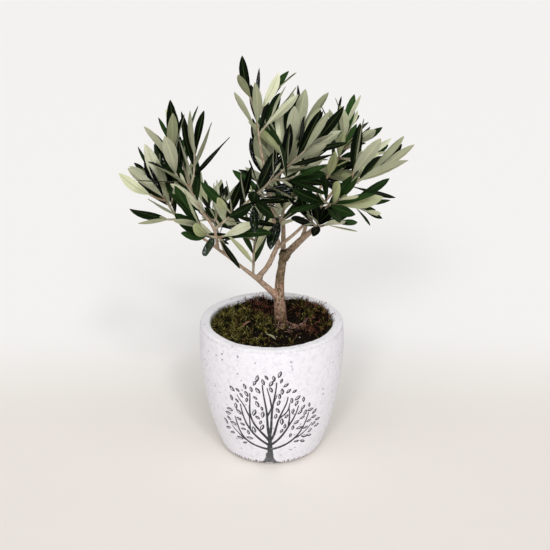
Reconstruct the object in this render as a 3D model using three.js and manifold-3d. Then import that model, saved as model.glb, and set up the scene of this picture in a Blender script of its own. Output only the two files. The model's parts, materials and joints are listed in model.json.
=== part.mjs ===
// A small olive tree in a thick-walled cement pot that is dressed with moss.
// Millimetres, +Z up. The origin is the centre of the pot's flat underside, and -Y is the front.
import * as THREE from "three";
import { mergeVertices } from "three/addons/utils/BufferGeometryUtils.js";
import Module from "manifold-3d";

const wasm = await Module();
wasm.setup();

// Clearance between pieces that touch in the real object
const GAP = 0.3;

// Pot
const POT_HEIGHT = 140;
const POT_RADIUS = 73;
const POT_WIDEST_AT = 112;
const POT_FOOT_RADIUS = 46;
const POT_FOOT_ROUND = 8;
const POT_WALL = 11.4;
const POT_FLOOR = 12;
const RIM_ROUND = 3;
const POT_SIDES = 36;
const POT_STEPS = 3;
const SOIL_SIDES = 20;

// Soil and moss
const SOIL_TOP = 122;
const MOSS_LEVEL = 132;
const MOSS_RINGS = 6;
const MOSS_SIDES = 30;
// Mounds and hollows of the moss: x, y, height, width
const MOSS_MOUNDS = [
  [-32, 8, 3.5, 20],
  [38, 18, 3.5, 16],
  [-14, 44, 4.5, 16],
  [24, 46, 3, 14],
  [-4, -44, 1.5, 18],
  [20, 6, -4.5, 13],
  [34, -32, -2.5, 16],
];

// Trunk, from its flat cut at the soil to its pruned top
const TRUNK_FOOT = [9.6, 15, SOIL_TOP - 4];
const TRUNK_TOP = [12.6, 12, 209];
const TRUNK_BOW = [-5, 0, 0];
const TRUNK_RADIUS = 6.1;
const TRUNK_TOP_RADIUS = 4.2;
const TRUNK_SIDES = 12;
const FLARE = 3.6;
const FLARE_HEIGHT = 9;
const FLARE_AT = 11;
const FLARE_LOBES = 5;

// Boughs: the limb each grows from and how far up it, then its tip, its bow and its radii at foot and tip
const LIMB_SIDES = 7;
const BOUGHS = [
  { name: "left_bough", from: "trunk", at: 0.42, tip: [-87, -8, 245], bow: [3, -2, 4], radii: [3.7, 1.4], taper: 3 },
  { name: "left_riser", from: "left_bough", at: 0.66, tip: [-66, -8, 255], bow: [8, -1, 3], radii: [1.6, 1.25] },
  { name: "inner_bough", from: "left_bough", at: 0.2, tip: [7, -1, 222], bow: [-2, 0, -2], radii: [3, 2.3] },
  { name: "upper_bough", from: "inner_bough", at: 0.97, tip: [-10, 3, 315], bow: [1, -2, 0], radii: [2, 1.3] },
  { name: "cross_bough", from: "inner_bough", at: 0.9, tip: [58, -24, 283], bow: [2, -4, -6], radii: [1.8, 1.3] },
  { name: "right_bough", from: "trunk", at: 0.92, tip: [44, -1, 239], bow: [-1, 2, 1], radii: [4.1, 2.3] },
  { name: "right_riser", from: "right_bough", at: 0.6, tip: [51, 22, 278], bow: [-4, 3, 0], radii: [1.9, 1.4] },
  { name: "back_bough", from: "trunk", at: 0.84, tip: [10, 56, 256], bow: [3, 6, -8], radii: [2.9, 1.6] },
];

// Foliage: each mass has one stem that grows on from a limb, and shoots that leave the stem
const STEM_RADIUS = 1.35;
const TWIG_RADIUS = 1.2;
const TWIG_SIDES = 4;
const SHOOT_SAG = 0.12;
const MASSES = [
  {
    name: "leaves_far_left", from: "left_bough", at: 1, leaf: 48, seed: 31033,
    tip: [-103, -10, 273], bow: [0, 0, -1],
    shoots: [
      { at: 0.85, tip: [-116, -15, 277] },
      { at: 0.7, tip: [-106, -2, 287] },
      { at: 0.2, tip: [-100, -16, 252] },
    ],
  },
  {
    name: "leaves_left_top", from: "left_riser", at: 1, leaf: 48, seed: 31033,
    tip: [-81, -9, 285], bow: [0, 0, 1],
    shoots: [
      { at: 0.95, tip: [-93, -14, 319], bow: [-8, -2, -8] },
      { at: 0.8, tip: [-72, -7, 314], bow: [3, 0, -4] },
      { at: 0.55, tip: [-90, 19, 315] },
    ],
  },
  {
    name: "leaves_left_front", from: "left_riser", at: 0.3, leaf: 50, seed: 30004,
    tip: [-62, -27, 240], bow: [0, 0, -1],
    shoots: [
      { at: 0.75, tip: [-70, -32, 257] },
      { at: 0.6, tip: [-44, -27, 239] },
      { at: 0.4, tip: [-47, -27, 235], bow: [0, 0, 2] },
    ],
  },
  {
    name: "leaves_diagonal", from: "left_riser", at: 0.5, leaf: 46, seed: 31031,
    tip: [37, -44, 333], bow: [1, 4, -3],
    shoots: [
      { at: 0.06, tip: [-55, 4, 247] },
      { at: 0.2, tip: [-42, -20, 264] },
      { at: 0.42, tip: [-16, -46, 276] },
      { at: 0.62, tip: [21, -54, 306] },
      { at: 0.8, tip: [31, -14, 324] },
    ],
  },
  {
    name: "leaves_top", from: "upper_bough", at: 1, leaf: 41, seed: 31004,
    tip: [-15, 5, 352], bow: [0, 0, 0],
    shoots: [
      { at: 0.95, tip: [-20, 2, 367] },
      { at: 0.85, tip: [-3, 9, 365] },
      { at: 0.4, tip: [1, 16, 345] },
    ],
  },
  {
    name: "leaves_centre", from: "upper_bough", at: 0.1, leaf: 48, seed: 31021,
    tip: [18, 20, 323], bow: [9, 6, 0],
    shoots: [
      { at: 0.2, tip: [7, -10, 249] },
      { at: 0.85, tip: [28, 32, 327] },
      { at: 0.6, tip: [35, 24, 298] },
      { at: 0.7, tip: [6, 36, 318] },
    ],
  },
  {
    name: "leaves_right_top", from: "right_riser", at: 1, leaf: 40, seed: 52097,
    tip: [70, 22, 332], bow: [11, 2, -2],
    shoots: [
      { at: 0.6, tip: [81, 14, 318] },
      { at: 0.45, tip: [93, 40, 298] },
      { at: 0.5, tip: [62, 40, 322] },
    ],
  },
  {
    name: "leaves_right_far", from: "cross_bough", at: 1, leaf: 50, seed: 83524,
    tip: [100, -8, 299], bow: [2, 0, -4],
    shoots: [
      { at: 0.3, tip: [79, -23, 311] },
      { at: 0.6, tip: [86, 4, 291] },
    ],
  },
  {
    name: "leaves_right_mid", from: "cross_bough", at: 0.75, leaf: 44, seed: 30010,
    tip: [63, -46, 282], bow: [0, -2, -3],
    shoots: [
      { at: 0.5, tip: [74, -38, 277] },
      { at: 0.6, tip: [45, -60, 288] },
    ],
  },
  {
    name: "leaves_right_low", from: "right_bough", at: 1, leaf: 42, seed: 118,
    tip: [52, -9, 244], bow: [0, 0, -1],
    shoots: [
      { at: 0.2, tip: [36, -28, 257], bow: [1, -2, -4] },
      { at: 0.45, tip: [43, -29, 253] },
      { at: 0.5, tip: [65, 5, 241], bow: [0, 0, 1] },
    ],
  },
  {
    name: "leaves_low_back", from: "left_bough", at: 0.26, leaf: 50, seed: 31008,
    tip: [-12, 34, 229], bow: [-8, -2, 2],
    shoots: [
      { at: 0.7, tip: [-33, 18, 228] },
      { at: 0.8, tip: [4, 45, 234] },
    ],
  },
  {
    name: "leaves_back_right", from: "back_bough", at: 1, leaf: 49, seed: 27056,
    tip: [35, 75, 290], bow: [-3, 2, 2],
    shoots: [
      { at: 0.4, tip: [6, 65, 287] },
      { at: 0.6, tip: [53, 57, 274] },
    ],
  },
  {
    name: "leaves_back_left", from: "back_bough", at: 0.7, leaf: 47, seed: 30023,
    tip: [-10, 66, 290], bow: [-4, 3, -5],
    shoots: [
      { at: 0.4, tip: [-18, 50, 257] },
      { at: 0.7, tip: [10, 60, 313] },
    ],
  },
  {
    name: "leaves_back_far", from: "left_bough", at: 0.58, leaf: 43, seed: 30377,
    tip: [-69, 45, 253], bow: [4, 4, -6],
    shoots: [
      { at: 0.6, tip: [-79, 27, 263] },
      { at: 0.7, tip: [-52, 55, 243] },
    ],
  },
];

// Leaves stand in opposite pairs, each pair a quarter turn from the next
const LEAF_SPREAD = 0.3;
const LEAF_WIDTH = 0.225;
const LEAF_THICKNESS = 0.9;
const LEAF_CURL = 0.09;
const LEAF_SKIPPED = 0.03;
const PETIOLE_WIDTH = 0.8;
const INTERNODE = 10;
const FIRST_NODE = 2.5;
const LAST_NODE = 6;
const LEAN_AT_TIP = 17;
const LEAN_STEP = 8;
const LEAN_MOST = 48;
const SUN_TURN = 0.3;
// Share of the length and of the width at each station of a leaf, from its petiole to its tip
const LEAF_STATIONS = [[0, 0], [0.5, 1], [0.82, 0.76], [1, 0]];
const BLADE_FROM = 0.2;
// Other ways to hold a leaf that would touch something: change of lean and of turn, in degrees
const LEAF_TRIES = [[0, 0], [10, 0], [-9, 0], [0, 24], [0, -24], [16, 14], [-12, -16]];
const LEAF_CLEARANCE = 0.8;
const REACH_LOW = [-148, -84, 196];
const REACH_HIGH = [136, 112, 404];

const UP = new THREE.Vector3(0, 0, 1);
const CEMENT = new THREE.MeshStandardMaterial({ color: "#e4e2e6", roughness: 0.85, metalness: 0 });
const EARTH = new THREE.MeshStandardMaterial({ color: "#3a2a1e", roughness: 0.95, metalness: 0 });
const MOSS = new THREE.MeshStandardMaterial({ color: "#4a5a24", roughness: 0.95, metalness: 0 });
const BARK = new THREE.MeshStandardMaterial({ color: "#a08a70", roughness: 0.85, metalness: 0 });
const FOLIAGE = new THREE.MeshStandardMaterial({ color: "#4f6148", roughness: 0.5, metalness: 0 });

const vector = (xyz) => new THREE.Vector3(...xyz);
const radians = THREE.MathUtils.degToRad;
const indices = (count) => [...Array(count).keys()];

/** A repeatable run of numbers from 0 to 1. */
function seeded(seed) {
  let state = seed >>> 0;
  return () => {
    state = (state + 0x6d2b79f5) >>> 0;
    let mixed = Math.imul(state ^ (state >>> 15), state | 1);
    mixed ^= mixed + Math.imul(mixed ^ (mixed >>> 7), mixed | 61);
    return ((mixed ^ (mixed >>> 14)) >>> 0) / 4294967296;
  };
}

/** A closed skin over rings of points, whose ends are flat or, where a ring is one point, drawn to it. */
function loft(rings) {
  const points = rings.flat();
  const starts = [];
  let total = 0;
  for (const ring of rings) {
    starts.push(total);
    total += ring.length;
  }
  const faces = [];
  for (let row = 0; row + 1 < rings.length; row += 1) {
    const low = rings[row].length;
    const high = rings[row + 1].length;
    for (const k of indices(Math.max(low, high))) {
      const a = starts[row] + (k % low);
      const b = starts[row] + ((k + 1) % low);
      const c = starts[row + 1] + ((k + 1) % high);
      const d = starts[row + 1] + (k % high);
      if (low > 1) {
        faces.push([a, b, c]);
      }
      if (high > 1) {
        faces.push([a, c, d]);
      }
    }
  }
  const last = rings.length - 1;
  for (const k of indices(rings[0].length).slice(2)) {
    faces.push([starts[0], starts[0] + k, starts[0] + k - 1]);
  }
  for (const k of indices(rings[last].length).slice(2)) {
    faces.push([starts[last], starts[last] + k - 1, starts[last] + k]);
  }
  return { points, faces };
}

/** A skin ready to be tested against others: its edges, each once, and its box. */
function testable(skin) {
  const edges = new Map();
  for (const face of skin.faces) {
    for (const k of indices(3)) {
      const pair = [face[k], face[(k + 1) % 3]].sort((a, b) => a - b);
      edges.set(pair.join(), pair);
    }
  }
  return { ...skin, edges: [...edges.values()], box: new THREE.Box3().setFromPoints(skin.points) };
}

/** Whether an edge of one skin passes through a face of the other. */
function edgePierces(one, other) {
  const ray = new THREE.Ray();
  const hit = new THREE.Vector3();
  return one.edges.some(([i, j]) => {
    ray.origin.copy(one.points[i]);
    ray.direction.subVectors(one.points[j], one.points[i]);
    const length = ray.direction.length();
    ray.direction.divideScalar(length);
    return other.faces.some(([a, b, c]) => {
      const found = ray.intersectTriangle(other.points[a], other.points[b], other.points[c], false, hit);
      return found !== null && hit.distanceTo(ray.origin) <= length;
    });
  });
}

const crosses = (one, other) =>
  one.box.intersectsBox(other.box) && (edgePierces(one, other) || edgePierces(other, one));

/** The solid inside a skin. */
function solidOf(skin) {
  const vertProperties = new Float32Array(skin.points.flatMap((point) => point.toArray()));
  const triVerts = new Uint32Array(skin.faces.flat());
  return new wasm.Manifold(new wasm.Mesh({ numProp: 3, vertProperties, triVerts }));
}

/** The solid inside a geometry of a closed shape. */
function solidOfGeometry(geometry) {
  const bare = geometry.clone();
  bare.deleteAttribute("normal");
  bare.deleteAttribute("uv");
  const joined = mergeVertices(bare, 1e-4);
  const index = joined.index.array;
  const faces = [];
  for (let k = 0; k < index.length; k += 3) {
    const face = [index[k], index[k + 1], index[k + 2]];
    if (new Set(face).size === 3) {
      faces.push(face);
    }
  }
  const vertProperties = new Float32Array(joined.attributes.position.array);
  const triVerts = new Uint32Array(faces.flat());
  return new wasm.Manifold(new wasm.Mesh({ numProp: 3, vertProperties, triVerts }));
}

/** The largest body of a solid, without the scraps that a cut leaves. */
const largestBody = (solid) => solid.decompose().sort((a, b) => b.volume() - a.volume())[0];

/** The named mesh of a solid. */
function meshOf(name, solid, material) {
  const { vertProperties, triVerts } = solid.getMesh();
  const geometry = new THREE.BufferGeometry();
  geometry.setAttribute("position", new THREE.BufferAttribute(vertProperties, 3));
  geometry.setIndex(new THREE.BufferAttribute(triVerts, 1));
  geometry.computeVertexNormals();
  const mesh = new THREE.Mesh(geometry, material);
  mesh.name = name;
  return mesh;
}

/** A centreline that bows from a start to a tip. */
function bowed(start, tip, bow) {
  const control = start.clone().lerp(tip, 0.5).add(bow);
  return new THREE.QuadraticBezierCurve3(start, control, tip);
}

/** Two directions square to a given one, the second square to both. */
function squareTo(direction) {
  const aid = Math.abs(direction.z) < 0.9 ? UP : new THREE.Vector3(1, 0, 0);
  const across = new THREE.Vector3().crossVectors(direction, aid).normalize();
  return [across, new THREE.Vector3().crossVectors(direction, across)];
}

/** A tube along a centreline, with a radius that may change along it and round it. */
function tube(line, steps, sides, radiusAt) {
  const [first] = squareTo(line.getTangent(0));
  const across = first.clone();
  return loft(indices(steps + 1).map((row) => {
    const share = row / steps;
    const ahead = line.getTangent(share);
    across.addScaledVector(ahead, -across.dot(ahead)).normalize();
    const beside = new THREE.Vector3().crossVectors(ahead, across);
    const centre = line.getPoint(share);
    return indices(sides).map((k) => {
      const angle = (2 * Math.PI * k) / sides;
      const radius = radiusAt(share, angle);
      return centre.clone()
        .addScaledVector(across, Math.cos(angle) * radius)
        .addScaledVector(beside, Math.sin(angle) * radius);
    });
  }));
}

/** The pot's inside from below its rim to the middle of its floor, moved in from the wall by an inset. */
function potInside(inset) {
  const radius = POT_RADIUS - POT_WALL - inset;
  const path = new THREE.Path();
  path.moveTo(radius, POT_HEIGHT - RIM_ROUND);
  path.lineTo(radius, POT_WIDEST_AT);
  path.bezierCurveTo(radius, 66, radius - 10, 32, radius - 17, POT_FLOOR + 5 + inset);
  path.quadraticCurveTo(radius - 19.5, POT_FLOOR + inset, radius - 26, POT_FLOOR + inset);
  path.lineTo(0, POT_FLOOR + inset);
  return path.getPoints(POT_STEPS);
}

function potSolid() {
  const path = new THREE.Path();
  const foot = POT_FOOT_RADIUS;
  const inner = POT_RADIUS - POT_WALL;
  path.moveTo(0, 0);
  path.lineTo(foot, 0);
  path.quadraticCurveTo(foot + 5.5, 0.8, foot + POT_FOOT_ROUND, POT_FOOT_ROUND);
  path.bezierCurveTo(foot + 15.5, 28, POT_RADIUS - 0.5, 66, POT_RADIUS, POT_WIDEST_AT);
  path.lineTo(POT_RADIUS, 126);
  path.lineTo(POT_RADIUS - 0.8, POT_HEIGHT - RIM_ROUND);
  path.quadraticCurveTo(POT_RADIUS - 1, POT_HEIGHT, POT_RADIUS - 1 - RIM_ROUND, POT_HEIGHT);
  path.lineTo(inner + RIM_ROUND, POT_HEIGHT);
  path.quadraticCurveTo(inner, POT_HEIGHT, inner, POT_HEIGHT - RIM_ROUND);
  const profile = [...path.getPoints(POT_STEPS), ...potInside(0).slice(1)];
  return solidOfGeometry(new THREE.LatheGeometry(profile, POT_SIDES).rotateX(Math.PI / 2));
}

function soilSolid() {
  const wall = potInside(GAP).filter((point) => point.y <= SOIL_TOP);
  const edge = new THREE.Vector2(POT_RADIUS - POT_WALL - GAP, SOIL_TOP);
  const profile = [...wall.reverse(), edge, new THREE.Vector2(0, SOIL_TOP)];
  return solidOfGeometry(new THREE.LatheGeometry(profile, SOIL_SIDES).rotateX(Math.PI / 2));
}

/** Height of the moss above the pot's underside. */
function mossHeight(x, y) {
  const ripple = 0.7 * Math.sin(0.31 * x + 1.3) * Math.cos(0.27 * y) + 0.5 * Math.sin(0.53 * y - 0.4 * x);
  const mounds = MOSS_MOUNDS.map(([mx, my, height, width]) => {
    const far = ((x - mx) ** 2 + (y - my) ** 2) / width ** 2;
    return height * Math.exp(-far);
  });
  return mounds.reduce((sum, height) => sum + height, MOSS_LEVEL + ripple);
}

function mossSolid() {
  const radius = POT_RADIUS - POT_WALL - GAP;
  const ringAt = (size, heightAt) => indices(MOSS_SIDES).map((k) => {
    const angle = (2 * Math.PI * k) / MOSS_SIDES;
    const x = size * Math.cos(angle);
    const y = size * Math.sin(angle);
    return new THREE.Vector3(x, y, heightAt(x, y));
  });
  const floor = SOIL_TOP + GAP;
  const rings = indices(MOSS_RINGS).map((k) => ringAt((radius * (MOSS_RINGS - k)) / MOSS_RINGS, mossHeight));
  return solidOf(loft([
    [new THREE.Vector3(0, 0, floor)],
    ringAt(radius, () => floor),
    ...rings,
    [new THREE.Vector3(0, 0, mossHeight(0, 0))],
  ]));
}

/** The trunk's skin, with a lobed flare where it meets the ground. */
function trunkSkin(line, grow) {
  return tube(line, 14, TRUNK_SIDES, (share, angle) => {
    const height = line.getPoint(share).z - SOIL_TOP - FLARE_AT;
    const flare = FLARE * Math.exp(-Math.max(height, 0) / FLARE_HEIGHT);
    const lobes = 1 + 0.35 * Math.cos(FLARE_LOBES * angle);
    const radius = TRUNK_RADIUS + (TRUNK_TOP_RADIUS - TRUNK_RADIUS) * share ** 1.2;
    return radius + flare * lobes + grow;
  });
}

/** A bough's skin, which narrows to its tip, evenly or faster near its foot. */
function boughSkin(line, [foot, tip], taper, grow) {
  const steps = Math.max(5, Math.round(line.getLength() / 12));
  return tube(line, steps, LIMB_SIDES, (share) => tip + (foot - tip) * (1 - share) ** taper + grow);
}

/** A twig's skin, from the radius it starts with to the radius of a shoot's tip. */
function twigSkin(line, radius, grow) {
  const steps = Math.max(2, Math.round(line.getLength() / 24));
  return tube(line, steps, TWIG_SIDES, (share) => radius + (TWIG_RADIUS - radius) * share + grow);
}

/** A leaf's skin: a curling blade, flat above and keeled below, on a narrow petiole. */
function leafSkin(leaf, from, grow) {
  const side = new THREE.Vector3().crossVectors(leaf.along, leaf.upper);
  const thick = LEAF_THICKNESS / 2 + grow;
  return loft(LEAF_STATIONS.map(([share, width], row) => {
    const reach = row === 0 ? from : share;
    const blade = row === 0 ? from / LEAF_STATIONS[1][0] : width;
    const centre = leaf.base.clone()
      .addScaledVector(leaf.along, leaf.length * reach)
      .addScaledVector(leaf.upper, leaf.curl * leaf.length * reach ** 2);
    if (row === LEAF_STATIONS.length - 1) {
      return [centre.addScaledVector(leaf.along, grow)];
    }
    const half = Math.max(PETIOLE_WIDTH / 2, (blade * leaf.length * LEAF_WIDTH) / 2) + grow;
    return [
      centre.clone().addScaledVector(side, -half).addScaledVector(leaf.upper, thick),
      centre.clone().addScaledVector(side, half).addScaledVector(leaf.upper, thick),
      centre.clone().addScaledVector(leaf.upper, -thick),
    ];
  }));
}

/** A leaf held at a node of a shoot, leaning out from its axis and turned somewhat to the light. */
function heldLeaf(node, lean, turn, length, curl) {
  const [across, beside] = squareTo(node.axis);
  const out = across.multiplyScalar(Math.cos(turn)).addScaledVector(beside, Math.sin(turn));
  const along = node.axis.clone().multiplyScalar(Math.cos(lean)).addScaledVector(out, Math.sin(lean));
  const upper = node.axis.clone().multiplyScalar(Math.sin(lean)).addScaledVector(out, -Math.cos(lean));
  upper.lerp(UP, SUN_TURN);
  upper.addScaledVector(along, -upper.dot(along)).normalize();
  return { base: node.point, along, upper, length, curl };
}

/** The nodes of a shoot that bear leaves, from its tip back to its foot. */
function nodesOf(line) {
  const length = line.getLength();
  const count = Math.floor((length - FIRST_NODE - LAST_NODE) / INTERNODE) + 1;
  return indices(Math.max(count, 1)).map((k) => {
    const share = 1 - (FIRST_NODE + k * INTERNODE) / length;
    return { point: line.getPoint(share), axis: line.getTangent(share) };
  });
}

const inReach = (point) => ["x", "y", "z"].every((axis, k) =>
  point[axis] >= REACH_LOW[k] && point[axis] <= REACH_HIGH[k]);

// Limbs, each with its centreline, its solid and the skin that leaves keep clear of
const limbs = new Map();

function addLimb(name, line, skinAt) {
  limbs.set(name, {
    line,
    solid: solidOf(skinAt(0)),
    grown: solidOf(skinAt(GAP)),
    skin: testable(skinAt(LEAF_CLEARANCE)),
  });
}

const trunkLine = bowed(vector(TRUNK_FOOT), vector(TRUNK_TOP), vector(TRUNK_BOW));
addLimb("trunk", trunkLine, (grow) => trunkSkin(trunkLine, grow));
const ground = new THREE.BoxGeometry(2 * POT_RADIUS, 2 * POT_RADIUS, SOIL_TOP).translate(0, 0, SOIL_TOP / 2 + GAP);
limbs.get("trunk").solid = limbs.get("trunk").solid.subtract(solidOfGeometry(ground));
for (const { name, from, at, tip, bow, radii, taper } of BOUGHS) {
  const line = bowed(limbs.get(from).line.getPoint(at), vector(tip), vector(bow));
  addLimb(name, line, (grow) => boughSkin(line, radii, taper ?? 1, grow));
}

// A bough stops short of the limbs that came before it
const made = [];
for (const limb of limbs.values()) {
  for (const earlier of made) {
    limb.solid = largestBody(limb.solid.subtract(earlier.grown));
  }
  made.push(limb);
}

// Twigs of every mass come first, so that each leaf can keep clear of all of them
const masses = [];

/** Adds a twig to a mass, or skips it where it would touch a limb or another mass's twig. */
function addTwig(mass, line, radius, bearer) {
  const skin = testable(twigSkin(line, radius, LEAF_CLEARANCE));
  const touchesLimb = [...limbs.values()].some((limb) => limb !== bearer && crosses(skin, limb.skin));
  const touchesTwig = masses.some((other) => other.twigs.some((twig) => crosses(skin, twig.skin)));
  if (!touchesLimb && !touchesTwig) {
    mass.twigs.push({ line, skin, solid: solidOf(twigSkin(line, radius, 0)) });
  }
}

for (const { name, from, at, tip, bow, leaf, seed, shoots } of MASSES) {
  const carrier = limbs.get(from);
  const mass = { name, carrier, leaf, random: seeded(seed), twigs: [], leaves: [] };
  const stem = bowed(carrier.line.getPoint(at), vector(tip), vector(bow));
  addTwig(mass, stem, STEM_RADIUS, carrier);
  for (const shoot of shoots) {
    const foot = stem.getPoint(shoot.at);
    const end = vector(shoot.tip);
    const sag = [0, 0, -SHOOT_SAG * foot.distanceTo(end)];
    addTwig(mass, bowed(foot, end, vector(shoot.bow ?? sag)), TWIG_RADIUS, null);
  }
  masses.push(mass);
}

/** Whether a leaf keeps clear of the limbs, the other twigs and the leaves placed so far. */
function isClear(leaf, mass, twig) {
  if (!inReach(leaf.blade.points.at(-1))) {
    return false;
  }
  if ([...limbs.values()].some((limb) => crosses(leaf.whole, limb.skin))) {
    return false;
  }
  return masses.every((other) => {
    const own = other === mass;
    const part = own ? "blade" : "whole";
    return other.twigs.every((each) => each === twig || !crosses(leaf[part], each.skin))
      && other.leaves.every((each) => !crosses(leaf[part], each[part]));
  });
}

function growLeaves(mass, twig) {
  const first = 2 * Math.PI * mass.random();
  nodesOf(twig.line).forEach((node, k) => {
    for (const half of [0, 1]) {
      const [skip, lean, turn, size, bend] = indices(5).map(() => mass.random());
      if (skip < LEAF_SKIPPED) {
        continue;
      }
      const leanBase = Math.min(LEAN_AT_TIP + LEAN_STEP * k, LEAN_MOST) + 16 * (lean - 0.5);
      const turnBase = first + (Math.PI / 2) * k + Math.PI * half + 0.6 * (turn - 0.5);
      const length = mass.leaf * (k === 0 ? 0.92 : 1) * (1 + LEAF_SPREAD * (size - 0.5));
      const curl = LEAF_CURL * (2 * bend - 0.7);
      for (const [moreLean, moreTurn] of LEAF_TRIES) {
        const held = heldLeaf(node, radians(leanBase + moreLean), turnBase + radians(moreTurn), length, curl);
        const leaf = {
          held,
          blade: testable(leafSkin(held, BLADE_FROM, LEAF_CLEARANCE / 2)),
          whole: testable(leafSkin(held, 0, LEAF_CLEARANCE / 2)),
        };
        if (isClear(leaf, mass, twig)) {
          mass.leaves.push(leaf);
          break;
        }
      }
    }
  });
}

for (const mass of masses) {
  for (const twig of mass.twigs) {
    growLeaves(mass, twig);
  }
}

/** A mass's twigs and leaves fused into one body, clear of the limb that bears it. */
function massSolid(mass) {
  const twigs = mass.twigs.map((twig) => twig.solid);
  const leaves = mass.leaves.map((leaf) => solidOf(leafSkin(leaf.held, 0, 0)));
  return largestBody(wasm.Manifold.union([...twigs, ...leaves]).subtract(mass.carrier.grown));
}

const olive = new THREE.Group();
olive.name = "potted_olive";
olive.add(meshOf("pot", potSolid(), CEMENT));
olive.add(meshOf("soil", soilSolid(), EARTH));
olive.add(meshOf("moss", mossSolid().subtract(limbs.get("trunk").grown), MOSS));
for (const [name, limb] of limbs) {
  olive.add(meshOf(name, limb.solid, BARK));
}
for (const mass of masses) {
  olive.add(meshOf(mass.name, massSolid(mass), FOLIAGE));
}

export default olive;
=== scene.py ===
"""Looks of a potted olive bonsai: cement pot with a drawn tree, mossy soil, bark, twigs and leaves.

Sizes are in millimetres, as in the part's source, and become metres where a mesh is made. Finishes
read heights and places in metres.
"""

import sys

import json
import logging
import math
from collections.abc import Callable, Sequence
from dataclasses import dataclass, field
from enum import Enum
from functools import cache, partial

import bpy
import numpy as np
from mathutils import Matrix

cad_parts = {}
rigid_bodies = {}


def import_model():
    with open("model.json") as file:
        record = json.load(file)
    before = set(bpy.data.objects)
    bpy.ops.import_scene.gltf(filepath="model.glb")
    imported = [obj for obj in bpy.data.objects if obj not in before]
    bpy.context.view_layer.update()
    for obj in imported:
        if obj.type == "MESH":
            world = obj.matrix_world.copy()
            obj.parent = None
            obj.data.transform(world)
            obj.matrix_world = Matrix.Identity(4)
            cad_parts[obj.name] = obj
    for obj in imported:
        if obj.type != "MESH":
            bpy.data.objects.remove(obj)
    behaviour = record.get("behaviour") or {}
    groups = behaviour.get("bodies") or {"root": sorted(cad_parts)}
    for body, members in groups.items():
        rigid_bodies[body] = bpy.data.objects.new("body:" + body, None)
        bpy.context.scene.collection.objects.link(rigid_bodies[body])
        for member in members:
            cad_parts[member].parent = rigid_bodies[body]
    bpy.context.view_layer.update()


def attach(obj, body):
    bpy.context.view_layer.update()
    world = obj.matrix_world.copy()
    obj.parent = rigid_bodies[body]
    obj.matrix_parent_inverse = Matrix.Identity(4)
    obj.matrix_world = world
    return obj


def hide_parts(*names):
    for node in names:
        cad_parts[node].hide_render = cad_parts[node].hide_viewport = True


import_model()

Array = np.ndarray
Colour = tuple[float, float, float]
Point = tuple[float, float, float]
Span = tuple[float, float]
RadiusAt = Callable[[float, Array], Array]
Piece = bpy.types.Object
Material = bpy.types.Material
Socket = bpy.types.NodeSocket

LOG = logging.getLogger("olive")
MM = 0.001
BODY = "root"
UP = np.array([0.0, 0.0, 1.0])
FULL_TURN = 2 * math.pi
# Primes and shifts that mix the corners of the noise
NOISE_PRIMES = np.array([374761393, 668265263, 2147483629])
SEED_PRIME, MIX_PRIME = 1013904223, 1274126177
SEED_SHIFT = 17.31


class Slot(Enum):
    """Material slots of the part's record."""

    CEMENT = "cement"
    SOIL = "soil"
    MOSS = "moss"
    BARK = "bark"
    FOLIAGE = "foliage"


class Tone(Enum):
    """Shades of foliage, dealt out by spray."""

    DEEP = 0
    MIDDLE = 1
    FRESH = 2


class LeafSide(Enum):
    """Parts of a leaf with a finish of their own."""

    UPPER = 0
    UNDER = 1
    RIB = 2


# Helpers


class Draws:
    """A repeatable run of numbers from 0 to 1, the same run that the solids were grown with."""

    MASK = 0xFFFFFFFF
    STEP = 0x6D2B79F5

    def __init__(self, seed: int) -> None:
        """Starts the run at a seed."""
        self.state = seed & self.MASK

    def next(self) -> float:
        """The next number of the run.

        Returns:
            A number from 0 to 1.
        """
        self.state = (self.state + self.STEP) & self.MASK
        mixed = ((self.state ^ (self.state >> 15)) * (self.state | 1)) & self.MASK
        mixed ^= (mixed + (((mixed ^ (mixed >> 7)) * (mixed | 61)) & self.MASK)) & self.MASK
        return ((mixed ^ (mixed >> 14)) & self.MASK) / (self.MASK + 1)

    def between(self, low: float, high: float) -> float:
        """The next number, spread from low to high."""
        return low + (high - low) * self.next()


def unit(vector: Array) -> Array:
    """The vector at length 1."""
    return vector / np.linalg.norm(vector, axis=-1, keepdims=True)


def smooth_step(low: float, high: float, value: Array) -> Array:
    """A smooth rise from 0 at low to 1 at high."""
    share = np.clip((value - low) / (high - low), 0, 1)
    return share * share * (3 - 2 * share)


def soft_noise(points: Array, size: float, seed: int) -> Array:
    """Smooth noise in space.

    Args:
        points: Places to read, one row each.
        size: Distance over which the noise changes.
        seed: Picks the noise.

    Returns:
        A value from -1 to 1 for each place.
    """
    grid = np.asarray(points, float) / size + SEED_SHIFT * seed
    cell = np.floor(grid).astype(np.int64)
    part = grid - cell
    part = part * part * (3 - 2 * part)
    total = np.zeros(len(grid))
    for corner in range(8):
        step = np.array([corner & 1, corner >> 1 & 1, corner >> 2 & 1])
        at = (cell + step) * NOISE_PRIMES
        mixed = at[:, 0] ^ at[:, 1] ^ (at[:, 2] + seed * SEED_PRIME)
        mixed = (mixed ^ (mixed >> 13)) * MIX_PRIME
        value = ((mixed ^ (mixed >> 16)) & 0xFFFF) / (0xFFFF / 2) - 1
        total += value * np.prod(np.where(step, part, 1 - part), axis=1)
    return total


def ring_faces(number: Array) -> Array:
    """Quads between rows of corner numbers, each row closed into a ring."""
    after = np.roll(number, -1, axis=1)
    return np.stack([number[:-1], after[:-1], after[1:], number[1:]], -1).reshape(-1, 4)


def fan_faces(middle: int, ring: Array) -> Array:
    """Triangles from a middle corner to each step of a closed ring."""
    return np.stack([np.full_like(ring, middle), ring, np.roll(ring, -1)], -1)


def link(name: str, data: bpy.types.ID) -> Piece:
    """An object for a mesh, a light or a camera, linked to the scene."""
    piece = bpy.data.objects.new(name, data)
    bpy.context.scene.collection.objects.link(piece)
    return piece


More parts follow.
